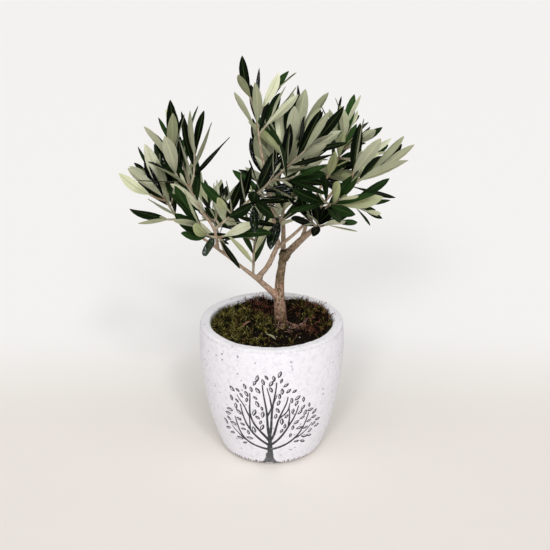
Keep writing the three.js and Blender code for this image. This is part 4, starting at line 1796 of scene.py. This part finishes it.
@dataclass
class Ground:
    """The dressed soil in the pot: earth, moss, dry moss, root fibres, crumbs and grit."""

    radius: float = 61.3
    level: float = 132.0
    base: float = 121.0
    rings: int = 62
    sectors: int = 200
    # Mounds: x, y, rise and width
    mounds: tuple[tuple[float, float, float, float], ...] = (
        (-32, 8, 3.5, 20), (38, 18, 3.5, 16), (-14, 44, 4.5, 16), (24, 46, 3, 14),
        (-4, -44, 1.5, 18), (7, 1, 5.5, 10), (25, 15, -7.5, 8), (34, -32, -2.5, 16),
        (-48, 30, 0.8, 13), (50, 34, 4.5, 18), (28, 54, 2.5, 12), (60, 8, 3.0, 14),
    )
    edge_rise: float = 4.2
    edge_drop: float = 1.2
    under_moss: float = 2.2
    # Patches: x, y and size
    mossy: tuple[Point, ...] = (
        (-45, 4, 22), (-38, -20, 17), (-52, 24, 16), (-5, -3, 15), (44, 24, 12), (34, 48, 12),
        (-30, 32, 13), (-12, 18, 11), (-16, -34, 10), (58, -10, 8),
    )
    dry: tuple[Point, ...] = (
        (-14, 48, 20), (0, 34, 15), (52, 4, 15), (40, -8, 12), (50, 30, 16), (30, 36, 11),
    )
    fibrous: tuple[Point, ...] = ((19, 4, 12), (9, -1, 8), (30, 5, 9))
    bare: tuple[Point, ...] = ((24, 17, 9), (34, -34, 12))
    # Least share of the open ground that a kind covers
    least_moss: float = 0.22
    least_dry: float = 0.05
    least_loose: float = 0.1

    def height(self, x: Array, y: Array) -> Array:
        """Height of the dressing above the pot's underside.

        Args:
            x: Places to the right of the middle.
            y: Places behind the middle.

        Returns:
            The height of each.
        """
        ripple = 0.7 * np.sin(0.31 * x + 1.3) * np.cos(0.27 * y) + 0.5 * np.sin(0.53 * y - 0.4 * x)
        total = self.level + ripple
        for at_x, at_y, rise, width in self.mounds:
            total = total + rise * np.exp(-((x - at_x) ** 2 + (y - at_y) ** 2) / width**2)
        return total + self.edge_rise * smooth_step(34, 60, np.hypot(x, y)) * smooth_step(-48, 2, y)

    def share(self, points: Array, patches: Sequence[Point], seed: int) -> Array:
        """How much of the ground a kind of growth covers in its patches, from 0 to 1."""
        off = [((points[:, :2] - at) ** 2).sum(1) / size**2 for *at, size in patches]
        return smooth_step(0.25, 0.7, np.exp(-np.min(off, 0)) + 0.22 * soft_noise(points, 7, seed))

    def surface(self) -> Piece:
        """The earth, as a closed disc with a lumpy top.

        Returns:
            The earth, with the share of each kind of growth stored on it.
        """
        turn = np.arange(self.sectors) * FULL_TURN / self.sectors
        size = self.radius * (np.arange(self.rings, 0, -1) / self.rings)
        x, y = ((size[:, None] * round_it(turn)).ravel() for round_it in (np.cos, np.sin))
        flat = np.stack([x, y, np.zeros_like(x)], 1)
        z = self.height(x, y) - self.under_moss
        z = z + 1.7 * soft_noise(flat, 7, 1) + 1.0 * soft_noise(flat, 2.6, 2)
        z = z - self.edge_drop * smooth_step(self.radius - 3, self.radius, np.hypot(x, y))
        rim = flat[: self.sectors] + [0, 0, self.base]
        middle = [[0, 0, self.base], [0, 0, float(self.height(0.0, 0.0)) - self.under_moss]]
        points = np.concatenate([np.stack([x, y, z], 1), rim, middle])
        number = np.arange(self.rings * self.sectors).reshape(self.rings, -1)
        low, end = len(x) + np.arange(self.sectors), len(points)
        skirt = ring_faces(np.stack([low, number[0]]))
        lids = [*fan_faces(end - 1, number[-1]), *fan_faces(end - 2, low[::-1])]
        faces = [*ring_faces(number), *skirt, *lids]
        piece = make_piece("earth", points, faces, [Earth().material()])
        self.store_shares(piece, points)
        return piece

    def store_shares(self, piece: Piece, points: Array) -> None:
        """Stores on the earth how much of it each kind of growth covers.

        Args:
            piece: The earth.
            points: Its corners.
        """
        out = np.hypot(points[:, 0], points[:, 1])
        inside = smooth_step(self.radius + 0.5, self.radius - 2.5, out)
        inside = inside * (points[:, 2] > self.base + 1)
        open_top = inside * (1 - 0.9 * self.share(points, self.bare, 7))
        moss = self.share(points, self.mossy, 4) * open_top
        dry = self.share(points, self.dry, 5) * open_top
        loose = np.maximum(1 - moss - 0.5 * dry, self.least_loose) * open_top
        add_values(piece, "mossy", np.maximum(moss, self.least_moss * open_top))
        add_values(piece, "tipped", moss)
        add_values(piece, "dry", np.maximum(dry, self.least_dry * open_top))
        add_values(piece, "fibrous", self.share(points, self.fibrous, 6) * open_top)
        add_values(piece, "loose", loose)

    def forms(self, name: str, count: int, make: Callable[[Draws], Form]) -> bpy.types.Collection:
        """A hidden set of forms to strew.

        Args:
            name: Name of the set.
            count: Number of forms.
            make: Makes the corners and faces of a form from a run of numbers.

        Returns:
            The set.
        """
        group = bpy.data.collections.new(name)
        draws = Draws(len(name) * 97 + count)
        for k in range(count):
            points, faces = make(draws)
            form = bpy.data.objects.new(f"{name}_{k}", new_mesh(f"{name}_{k}", points, faces))
            # How high each corner climbs, which paints shade at the roots of the strands
            climb = points[:, 2] / max(points[:, 2].max(), 0.1)
            add_values(form, "climb", np.clip(climb, 0, 1))
            group.objects.link(form)
        return group

    def frond(self, draws: Draws, pairs: int = 6) -> Form:
        """A moss strand that lies over towards its tip, set with pairs of small leaves.

        Args:
            draws: The run of numbers.
            pairs: Number of pairs of leaves.

        Returns:
            Its corners and faces.
        """
        long, lean = draws.between(4.5, 9.5), draws.between(0.6, 1.7)
        bend = lean * (0.4 + 0.6 * np.linspace(0, 1, pairs))
        aheads = np.stack([np.sin(bend), 0 * bend, np.cos(bend)], 1)
        spine = np.cumsum(aheads, 0) * long / pairs - aheads[0] * long / pairs - [0, 0, 0.4]
        across = np.array([0.0, 1.0, 0.0])
        points, faces = [], []
        for k, (centre, ahead) in enumerate(zip(spine, aheads)):
            over = np.cross(ahead, across)
            for side in (-1, 1):
                size = (1.5 - 0.13 * k) * draws.between(0.75, 1.2)
                lift = draws.between(-0.25, 0.4) * over
                tip = centre + size * (0.9 * ahead + 0.42 * side * across + lift)
                order = (0, 1, 2, 3) if side > 0 else (1, 0, 2, 3)
                a, b, c, d = (len(points) + corner for corner in order)
                points += [centre - 0.6 * ahead, centre + 0.7 * ahead, centre + 0.18 * over, tip]
                faces += [[a, b, c], [a, c, d], [c, b, d], [b, a, d]]
        return np.array(points), faces

    def fibre(self, draws: Draws, steps: int = 6) -> Form:
        """A thin dry root that lies bent.

        Args:
            draws: The run of numbers.
            steps: Number of rings along it.

        Returns:
            Its corners and faces.
        """
        long, wave = draws.between(7, 15), draws.between(-0.7, 0.7)
        share = np.linspace(0, 1, steps)
        heading = wave * np.sin(math.pi * (share + draws.next()))
        run = np.stack([np.cos(heading), np.sin(heading), 0.25 * np.cos(4 * share)], 1)
        spine = np.cumsum(long / steps * run, 0)
        spine -= spine.mean(0) - [0, 0, 0.9]
        turn = np.arange(3) * FULL_TURN / 3
        ring = np.stack([0 * turn, np.cos(turn), np.sin(turn)], 1)
        rings = [centre + draws.between(0.13, 0.22) * ring for centre in spine]
        return np.concatenate(rings), loft_faces((len(turn),) * steps).tolist()

    def crumb(self, draws: Draws, sides: int = 5) -> Form:
        """An uneven crumb.

        Args:
            draws: The run of numbers.
            sides: Number of corners round it.

        Returns:
            Its corners and faces.
        """
        rings = []
        for tilt in (-0.75, 0.0, 0.75):
            turn = np.arange(sides) * FULL_TURN / sides + tilt
            size = math.cos(tilt) * np.array([draws.between(0.7, 1.15) for _ in turn])
            rise = 0 * turn + 0.8 * math.sin(tilt)
            rings.append(np.stack([size * np.cos(turn), size * np.sin(turn), rise], 1))
        return np.concatenate(rings), loft_faces((sides,) * len(rings)).tolist()

    def build(self) -> None:
        """Makes the ground and everything strewn on it."""
        earth, tree = self.surface(), scatter_tree()
        makers = (("frond", 8, self.frond), ("fibre", 6, self.fibre), ("crumb", 5, self.crumb))
        forms = {name: self.forms(name, count, make) for name, count, make in makers}
        settle(earth, ["soil"])
        for kind in STREWN:
            values = {"Share": kind.share, "Forms": forms[kind.form]}
            values |= {"Spacing": kind.spacing * MM, "Density": kind.density, "Tilt": kind.tilt}
            values |= {"Smallest": kind.sizes[0], "Largest": kind.sizes[1], "Seed": kind.seed}
            values["Finish"] = kind.finish.material()
            settle(tree.carry_out(earth, kind.name, values), kind.nodes)
        for group in forms.values():
            for form in list(group.objects):
                remove(form)
            bpy.data.collections.remove(group)


@dataclass
class BarkLimbs:
    """Trunk and boughs grown together into one bark, with ridges, knobs and a pruning scar."""

    tree: Tree
    step: float = 2.5
    sides: int = 28
    voxel: float = 0.5
    softening: int = 7
    collar: float = 0.45
    collar_reach: float = 5.0
    samples: int = 70
    limb_gap: float = 211.0
    block: int = 4000
    ridge: float = 0.15
    ridge_stretch: float = 0.16
    lump: float = 0.24
    knob: float = 0.55
    knobs: int = 60
    seed: int = 61
    scar_edge: Span = (4.6, 3.0)
    young_girths: Span = (4.4, 2.2)
    finish: Bark = Bark()

    def collared(self, limb: Limb, long: float, share: float, angles: Array) -> Array:
        """A limb's radius as it is asked for, with a collar where it leaves another."""
        swell = self.collar * math.exp(-((share * long / self.collar_reach) ** 2))
        return limb.radius_at(share, angles) * (1 if limb.name == "trunk" else 1 + swell)

    def join(self) -> bpy.types.Mesh:
        """Tubes of all limbs, grown together and smoothed.

        Returns:
            The mesh.
        """
        points, faces, start = [], [], 0
        for limb in self.tree.limbs.values():
            long = limb.line.length()
            steps = max(12, round(long / self.step))
            rings = tube(limb.line, steps, self.sides, partial(self.collared, limb, long))
            points += rings
            faces += (loft_faces((self.sides,) * len(rings)) + start).tolist()
            start += self.sides * len(rings)
        rough = make_piece("rough_limbs", np.concatenate(points), faces, [])
        together = rough.modifiers.new("together", "REMESH")
        together.mode = "VOXEL"
        together.voxel_size = self.voxel * MM
        soften = rough.modifiers.new("soften", "SMOOTH")
        soften.factor = 0.5
        soften.iterations = self.softening
        mesh = evaluated_mesh(rough)
        remove(rough)
        return mesh

    def along_limbs(self, points: Array) -> tuple[Array, Array]:
        """Where points lie along and round the nearest limb.

        Args:
            points: Points on the bark.

        Returns:
            For each point, its offset from the limb in two directions and its run along it, and the
            limb's radius there.
        """
        samples, frames, runs, radii = [], [], [], []
        shares = np.linspace(0, 1, self.samples)
        for number, limb in enumerate(self.tree.limbs.values()):
            places, across, beside = frames_along(limb.line, shares)
            samples.append(places)
            frames.append(np.stack([across, beside, limb.line.ahead(shares)], 1))
            runs.append(limb.line.length() * shares + self.limb_gap * number)
            radii.append([float(np.mean(limb.radius_at(share, np.zeros(1)))) for share in shares])
        samples, frames, runs, radii = map(np.concatenate, (samples, frames, runs, radii))
        grain, girth = np.empty_like(points), np.empty(len(points))
        for start in range(0, len(points), self.block):
            block = slice(start, start + self.block)
            far = np.linalg.norm(points[block, None] - samples[None], axis=2) - radii
            nearest = far.argmin(1)
            gap = points[block] - samples[nearest]
            grain[block] = (gap[:, None] * frames[nearest]).sum(2)
            grain[block, 2] += runs[nearest]
            girth[block] = radii[nearest]
        return grain, girth

    def relief(self, points: Array, grain: Array, girth: Array) -> Array:
        """Height of the bark over the smooth limbs.

        Args:
            points: Points on the bark.
            grain: Their places along and round the limbs.
            girth: The limbs' radius at each.

        Returns:
            The height at each.
        """
        squeezed = grain * [1, 1, self.ridge_stretch]
        ridges = soft_noise(squeezed, 1.5, 21) + 0.6 * soft_noise(squeezed, 0.8, 22)
        weight = np.clip(girth / 5, 0.32, 1.2)
        height = weight * (self.ridge * ridges + self.lump * soft_noise(grain, 6.5, 23))
        chosen = np.random.default_rng(self.seed).choice(len(points), self.knobs, replace=False)
        for number, corner in enumerate(chosen):
            size = (0.9 + 0.7 * (number % 4) / 3) * np.clip(girth[corner] / 3.5, 0.5, 1.3)
            near = ((points - points[corner]) ** 2).sum(1) / size**2
            height += self.knob * weight[corner] * np.exp(-near)
        return height

    def build(self) -> None:
        """Makes the bark."""
        mesh = self.join()
        points, normals = (np.empty(3 * len(mesh.vertices), np.float32) for _ in range(2))
        mesh.vertices.foreach_get("co", points)
        mesh.vertex_normals.foreach_get("vector", normals)
        points = points.reshape(-1, 3).astype(float) / MM
        grain, girth = self.along_limbs(points)
        height = self.relief(points, grain, girth)
        points = self.tree.bent(points + normals.reshape(-1, 3) * height[:, None])
        mesh.vertices.foreach_set("co", (points * MM).ravel())
        mesh.update()
        mesh.materials.clear()
        mesh.materials.append(self.finish.material())
        mesh.shade_smooth()
        mesh.name = "bark"
        piece = link("bark", mesh)
        # Mask of the pruning scar at the trunk's top, which carries its painted shade
        top = np.linalg.norm(points - np.array(self.tree.trunk_top) - [0, 0, 0.5], axis=1)
        top = top + 0.6 * soft_noise(points, 1.5, 31)
        add_values(piece, "scar", smooth_step(*self.scar_edge, top))
        add_values(piece, "grain", grain * MM)
        add_values(piece, "young", smooth_step(*self.young_girths, girth))
        settle(piece, list(self.tree.limbs))


@dataclass
class Foliage:
    """Twigs and leaves of the crown, each kind joined."""

    tree: Tree
    sides: int = 8
    step: float = 2.2
    swelling: float = 0.22
    swelling_reach: float = 1.3
    slimness: float = 0.74
    rounded_tip: float = 0.45
    thickness: float = 0.5
    rib: float = 0.32
    fold: float = 0.42
    droop: float = 0.24
    width: float = 0.228
    petiole: float = 0.62
    crease: float = 62.0
    # Share of a leaf's length and of its half width at each ring
    outline: tuple[Span, ...] = (
        (0.0, 0.0), (0.06, 0.0), (0.13, 0.34), (0.26, 0.66), (0.42, 0.92), (0.58, 1.0),
        (0.73, 0.90), (0.86, 0.62), (0.95, 0.28),
    )
    # Share of the half width, of the thickness and of the rib at each corner of a ring
    section: tuple[Point, ...] = (
        (-1, 0, 0), (-0.5, 0.5, 0), (0, 0.5, -0.25), (0.5, 0.5, 0), (1, 0, 0),
        (0.5, -0.5, 0), (0.1, -0.5, -1), (-0.1, -0.5, -1), (-0.5, -0.5, 0),
    )
    section_sides: tuple[LeafSide, ...] = (
        *(LeafSide.UPPER,) * 4, *(LeafSide.UNDER,) * 2, LeafSide.RIB, *(LeafSide.UNDER,) * 2
    )
    uppers: tuple[tuple[Colour, Colour], ...] = (
        ((0.0010, 0.0015, 0.0008), (0.0042, 0.0082, 0.0026)),
        ((0.0030, 0.0068, 0.0022), (0.0160, 0.0400, 0.0100)),
        ((0.0070, 0.0185, 0.0042), (0.0340, 0.0860, 0.0200)),
    )
    unders: tuple[tuple[Colour, Colour], ...] = (
        ((0.265, 0.285, 0.165), (0.470, 0.488, 0.350)),
        ((0.400, 0.430, 0.260), (0.760, 0.780, 0.590)),
        ((0.490, 0.540, 0.265), (0.850, 0.872, 0.650)),
    )
    coats: Point = (0.12, 0.14, 0.2)
    rib_colours: tuple[Colour, Colour] = ((0.36, 0.375, 0.20), (0.60, 0.60, 0.40))
    seed: int = 5
    own_seed: int = 45

    def build_twigs(self) -> None:
        """Makes the twigs by sweeping a section along their lines."""
        points, edges, girths, start = [], [], [], 0
        for twig in self.tree.twigs:
            long = twig.line.length()
            shares = np.linspace(0, 1, max(4, round(long / self.step)) + 1)
            points.append(self.tree.bent(twig.line.at(shares)))
            edges += [(start + k, start + k + 1) for k in range(len(shares) - 1)]
            start += len(shares)
            foot, tip = twig.radii
            girth = foot + (tip * self.slimness - foot) * shares
            for node in twig.nodes:
                off = (shares - node) * long / self.swelling_reach
                girth = girth + self.swelling * np.exp(-(off**2))
            girths.append(np.where(shares == 1, self.rounded_tip * girth, girth))
        lines = link("twig_lines", new_mesh("twig_lines", np.concatenate(points), [], edges))
        add_values(lines, "girth", np.concatenate(girths) * MM)
        values = {"Sides": self.sides, "Finish": TwigSkin().material()}
        piece = twig_tree().carry_out(lines, "twigs", values)
        remove(lines)
        settle(piece, [plan.name for plan in SPRAYS])

    def leaf_points(self, leaf: Leaf, draws: Draws) -> Array:
        """Corners of a leaf: a curling blade with a fold, a rib below and edges that turn down.

        Args:
            leaf: The leaf.
            draws: The run of numbers.

        Returns:
            The corners, ring by ring, and the tip.
        """
        twist, fold = draws.between(-0.8, 0.8), self.fold * draws.between(0.4, 1.5)
        swing, wide = draws.between(-0.08, 0.08), self.width * draws.between(0.88, 1.12)
        side = np.cross(leaf.along, leaf.upper)
        offset, sheet, ribbed = np.array(self.section).T
        rings = []
        for share, width in self.outline:
            half = max(self.petiole, width * wide * leaf.length / 2)
            turn = twist * share
            here = side * math.cos(turn) + leaf.upper * math.sin(turn)
            over = leaf.upper * math.cos(turn) - side * math.sin(turn)
            centre = leaf.base + leaf.along * leaf.length * share
            centre = centre + leaf.upper * leaf.curl * leaf.length * share**2
            centre = centre + side * swing * leaf.length * share * (1 - share) * 2
            blade = min(1.0, width * 3)
            lift = blade * half * (fold * np.abs(offset) - self.droop * offset**2)
            thick = sheet * self.thickness + ribbed * self.rib * blade
            rings.append(centre + np.outer(offset * half, here) + np.outer(lift + thick, over))
        tip = leaf.base + leaf.along * leaf.length + leaf.upper * leaf.curl * leaf.length
        return self.tree.bent(np.concatenate([*rings, tip[None]]))

    def leaf_faces(self) -> tuple[list[tuple[int, ...]], list[int]]:
        """Faces of a leaf.

        Returns:
            Corner numbers of each face, and the number of the finish of each.
        """
        count, rings = len(self.section), len(self.outline)
        faces: list[tuple[int, ...]] = [tuple(range(count - 1, -1, -1))]
        sides = [LeafSide.RIB]
        for row in range(rings):
            for k in range(count):
                a, b = row * count + k, row * count + (k + 1) % count
                last = row == rings - 1
                faces.append((a, b, rings * count) if last else (a, b, b + count, a + count))
                sides.append(LeafSide.RIB if row == 0 else self.section_sides[k])
        return faces, [side.value for side in sides]

    def finishes(self, tone: Tone) -> list[Material]:
        """The finishes of a tone's leaves.

        Args:
            tone: The tone.

        Returns:
            A finish for each side of a leaf, in their order.
        """
        name, upper, under = tone.name.lower(), self.uppers[tone.value], self.unders[tone.value]
        # Upper sides get a coat, a vein, and pale scale flecks painted as glints
        glossy = {"coat": self.coats[tone.value], "vein": 0.3, "scales_and_glints": 0.7}
        skins = (
            LeafSkin(f"leaf_upper_{name}", *upper, roughness=0.42, shine=0.02, grain=2.4, **glossy),
            LeafSkin(f"leaf_under_{name}", *under, roughness=0.62, shine=0.25, grain=0.7),
            LeafSkin(f"leaf_rib_{name}", *self.rib_colours, roughness=0.5, shine=0.25, grain=0.5),
        )
        return [skin.material() for skin in skins]

    def build_leaves(self, tone: Tone) -> None:
        """Makes the leaves of one tone, joined.

        Args:
            tone: The tone.
        """
        draws, own = Draws(self.seed + tone.value), Draws(self.own_seed + tone.value)
        leaves = [leaf for leaf in self.tree.leaves if self.tone_of(leaf) is tone]
        forms = [self.leaf_points(leaf, draws) for leaf in leaves]
        faces, sides = self.leaf_faces()
        places = [(share, corner[0]) for share, _ in self.outline for corner in self.section]
        places = np.array([*places, (1.0, 0.0)])
        count = len(places)
        every = [[c + count * k for c in face] for k in range(len(forms)) for face in faces]
        name, sides = f"leaves_{tone.name.lower()}", sides * len(forms)
        points, finishes = np.concatenate(forms), self.finishes(tone)
        piece = make_piece(name, points, every, finishes, sides, self.crease)
        blade = [np.column_stack([places, np.full(count, own.next())]) for _ in forms]
        add_values(piece, "blade", np.concatenate(blade))
        settle(piece, [plan.name for plan in SPRAYS])

    def tone_of(self, leaf: Leaf) -> Tone:
        """The tone of a leaf, which its whole shoot has."""
        return Tone((leaf.twig * 7 + leaf.spray * 3) % 5 % len(Tone))

    def build(self) -> None:
        """Makes twigs and leaves."""
        self.build_twigs()
        for tone in Tone:
            self.build_leaves(tone)


@dataclass
class FallenLeaves:
    """Two dry leaves that lie on the moss."""

    ground: Ground
    # Foot and tip on the ground, then both shades
    places: tuple[tuple[Point, Point, Colour, Colour], ...] = (
        ((-30, -12, 0), (-21, 1, 0), (0.17, 0.085, 0.050), (0.28, 0.150, 0.090)),
        ((-6, -24, 0), (4, -35, 0), (0.22, 0.215, 0.13), (0.34, 0.33, 0.21)),
    )
    # Share of the length and of the half width at each row
    outline: tuple[Span, ...] = (
        (0, 0.08), (0.15, 0.5), (0.35, 0.9), (0.6, 1.0), (0.8, 0.8), (0.94, 0.4), (1, 0.05)
    )
    across: tuple[float, ...] = (-1, -0.5, 0, 0.5, 1)
    lift: float = 2.4
    width: float = 0.2
    arch: float = 1.2
    sink: float = 0.3
    cup: float = 0.5
    thickness: float = 0.35

    def rows(self, foot: Point, tip: Point) -> list[Array]:
        """Rings of one leaf.

        Args:
            foot: Its foot on the ground.
            tip: Its tip on the ground.

        Returns:
            The rings, from foot to tip.
        """
        start, end = (
            np.array([x, y, float(self.ground.height(x, y)) + self.lift]) for x, y, _ in (foot, tip)
        )
        along = end - start
        side = unit(np.cross(along, UP)) * np.linalg.norm(along) * self.width / 2
        rows = []
        for share, wide in self.outline:
            arch = self.arch * math.sin(math.pi * share) - self.sink
            centre = start + along * share + UP * arch
            edges = [centre + side * wide * k + UP * self.cup * abs(k) * wide for k in self.across]
            under = [edge - UP * self.thickness for edge in reversed(edges[1:-1])]
            rows.append(np.array(edges + under))
        return rows

    def build(self) -> None:
        """Makes the fallen leaves."""
        for number, (foot, tip, light, dark) in enumerate(self.places):
            name, rows = f"fallen_leaf_{number}", self.rows(foot, tip)
            points, faces = np.concatenate(rows), loft_faces(tuple(len(row) for row in rows))
            finish = LeafSkin(name, light, dark, roughness=0.7, shine=0.2, grain=1.5)
            piece = make_piece(name, points, faces, [finish.material()], crease=70)
            add_values(piece, "blade", np.full(points.shape, 0.5))
            settle(piece)


@dataclass
class Studio:
    """The floor, the soft light and the camera at the photo's angle."""

    camera_place: Point = (0.0034, -0.935, 0.5727)
    camera_pitch: float = 67.63
    lens: float = 66.76
    film: float = 36.0
    farthest: float = 50.0
    floor_size: float = 6.0
    floor_level: float = -0.4
    sky: Colour = (1.0, 0.99, 0.975)
    sky_strength: float = 0.45
    # Suns: name, turn from the front to the right, height and width in degrees, and strength
    suns: tuple[tuple[str, float, float, float, float], ...] = (
        ("left_key", -15.0, 30.0, 12.0, 0.82),
        ("right_key", 13.0, 30.0, 12.0, 0.52),
        ("spark", 20.0, 42.0, 7.0, 0.45),
        ("fill", 0.0, 64.0, 60.0, 0.88),
    )

    def build(self) -> None:
        """Makes floor, light and camera."""
        square = np.array([(-1, -1, 0), (1, -1, 0), (1, 1, 0), (-1, 1, 0)])
        corners = square * self.floor_size / MM + [0, 0, self.floor_level]
        floor = make_piece("floor", corners, [(0, 1, 2, 3)], [Sweep().material()])
        scene = bpy.context.scene
        scene.world = bpy.data.worlds.new("sky")
        scene.world.use_nodes = True
        sky = scene.world.node_tree.nodes["Background"]
        sky.inputs["Color"].default_value = (*self.sky, 1)
        sky.inputs["Strength"].default_value = self.sky_strength
        for name, turn, height, width, strength in self.suns:
            light = bpy.data.lights.new(name, "SUN")
            light.angle, light.energy = math.radians(width), strength
            link(name, light).rotation_euler = (math.radians(90 - height), 0, math.radians(turn))
        camera = bpy.data.cameras.new("camera")
        camera.lens = self.lens
        camera.sensor_width = self.film
        camera.clip_end = self.farthest
        scene.camera = link("camera", camera)
        scene.camera.location = self.camera_place
        scene.camera.rotation_euler = (math.radians(self.camera_pitch), 0, 0)
        scene.view_settings.view_transform = "Standard"


def main() -> None:
    """Builds the studio, the pot, the ground and the tree."""
    logging.basicConfig(level=logging.INFO, format="%(message)s", stream=sys.stdout)
    Studio().build()
    Pot().build()
    ground = Ground()
    ground.build()
    FallenLeaves(ground).build()
    tree = Tree()
    tree.grow()
    LOG.info("%d twigs, %d leaves", len(tree.twigs), len(tree.leaves))
    BarkLimbs(tree).build()
    Foliage(tree).build()
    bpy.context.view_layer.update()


if __name__ == "__main__":
    main()
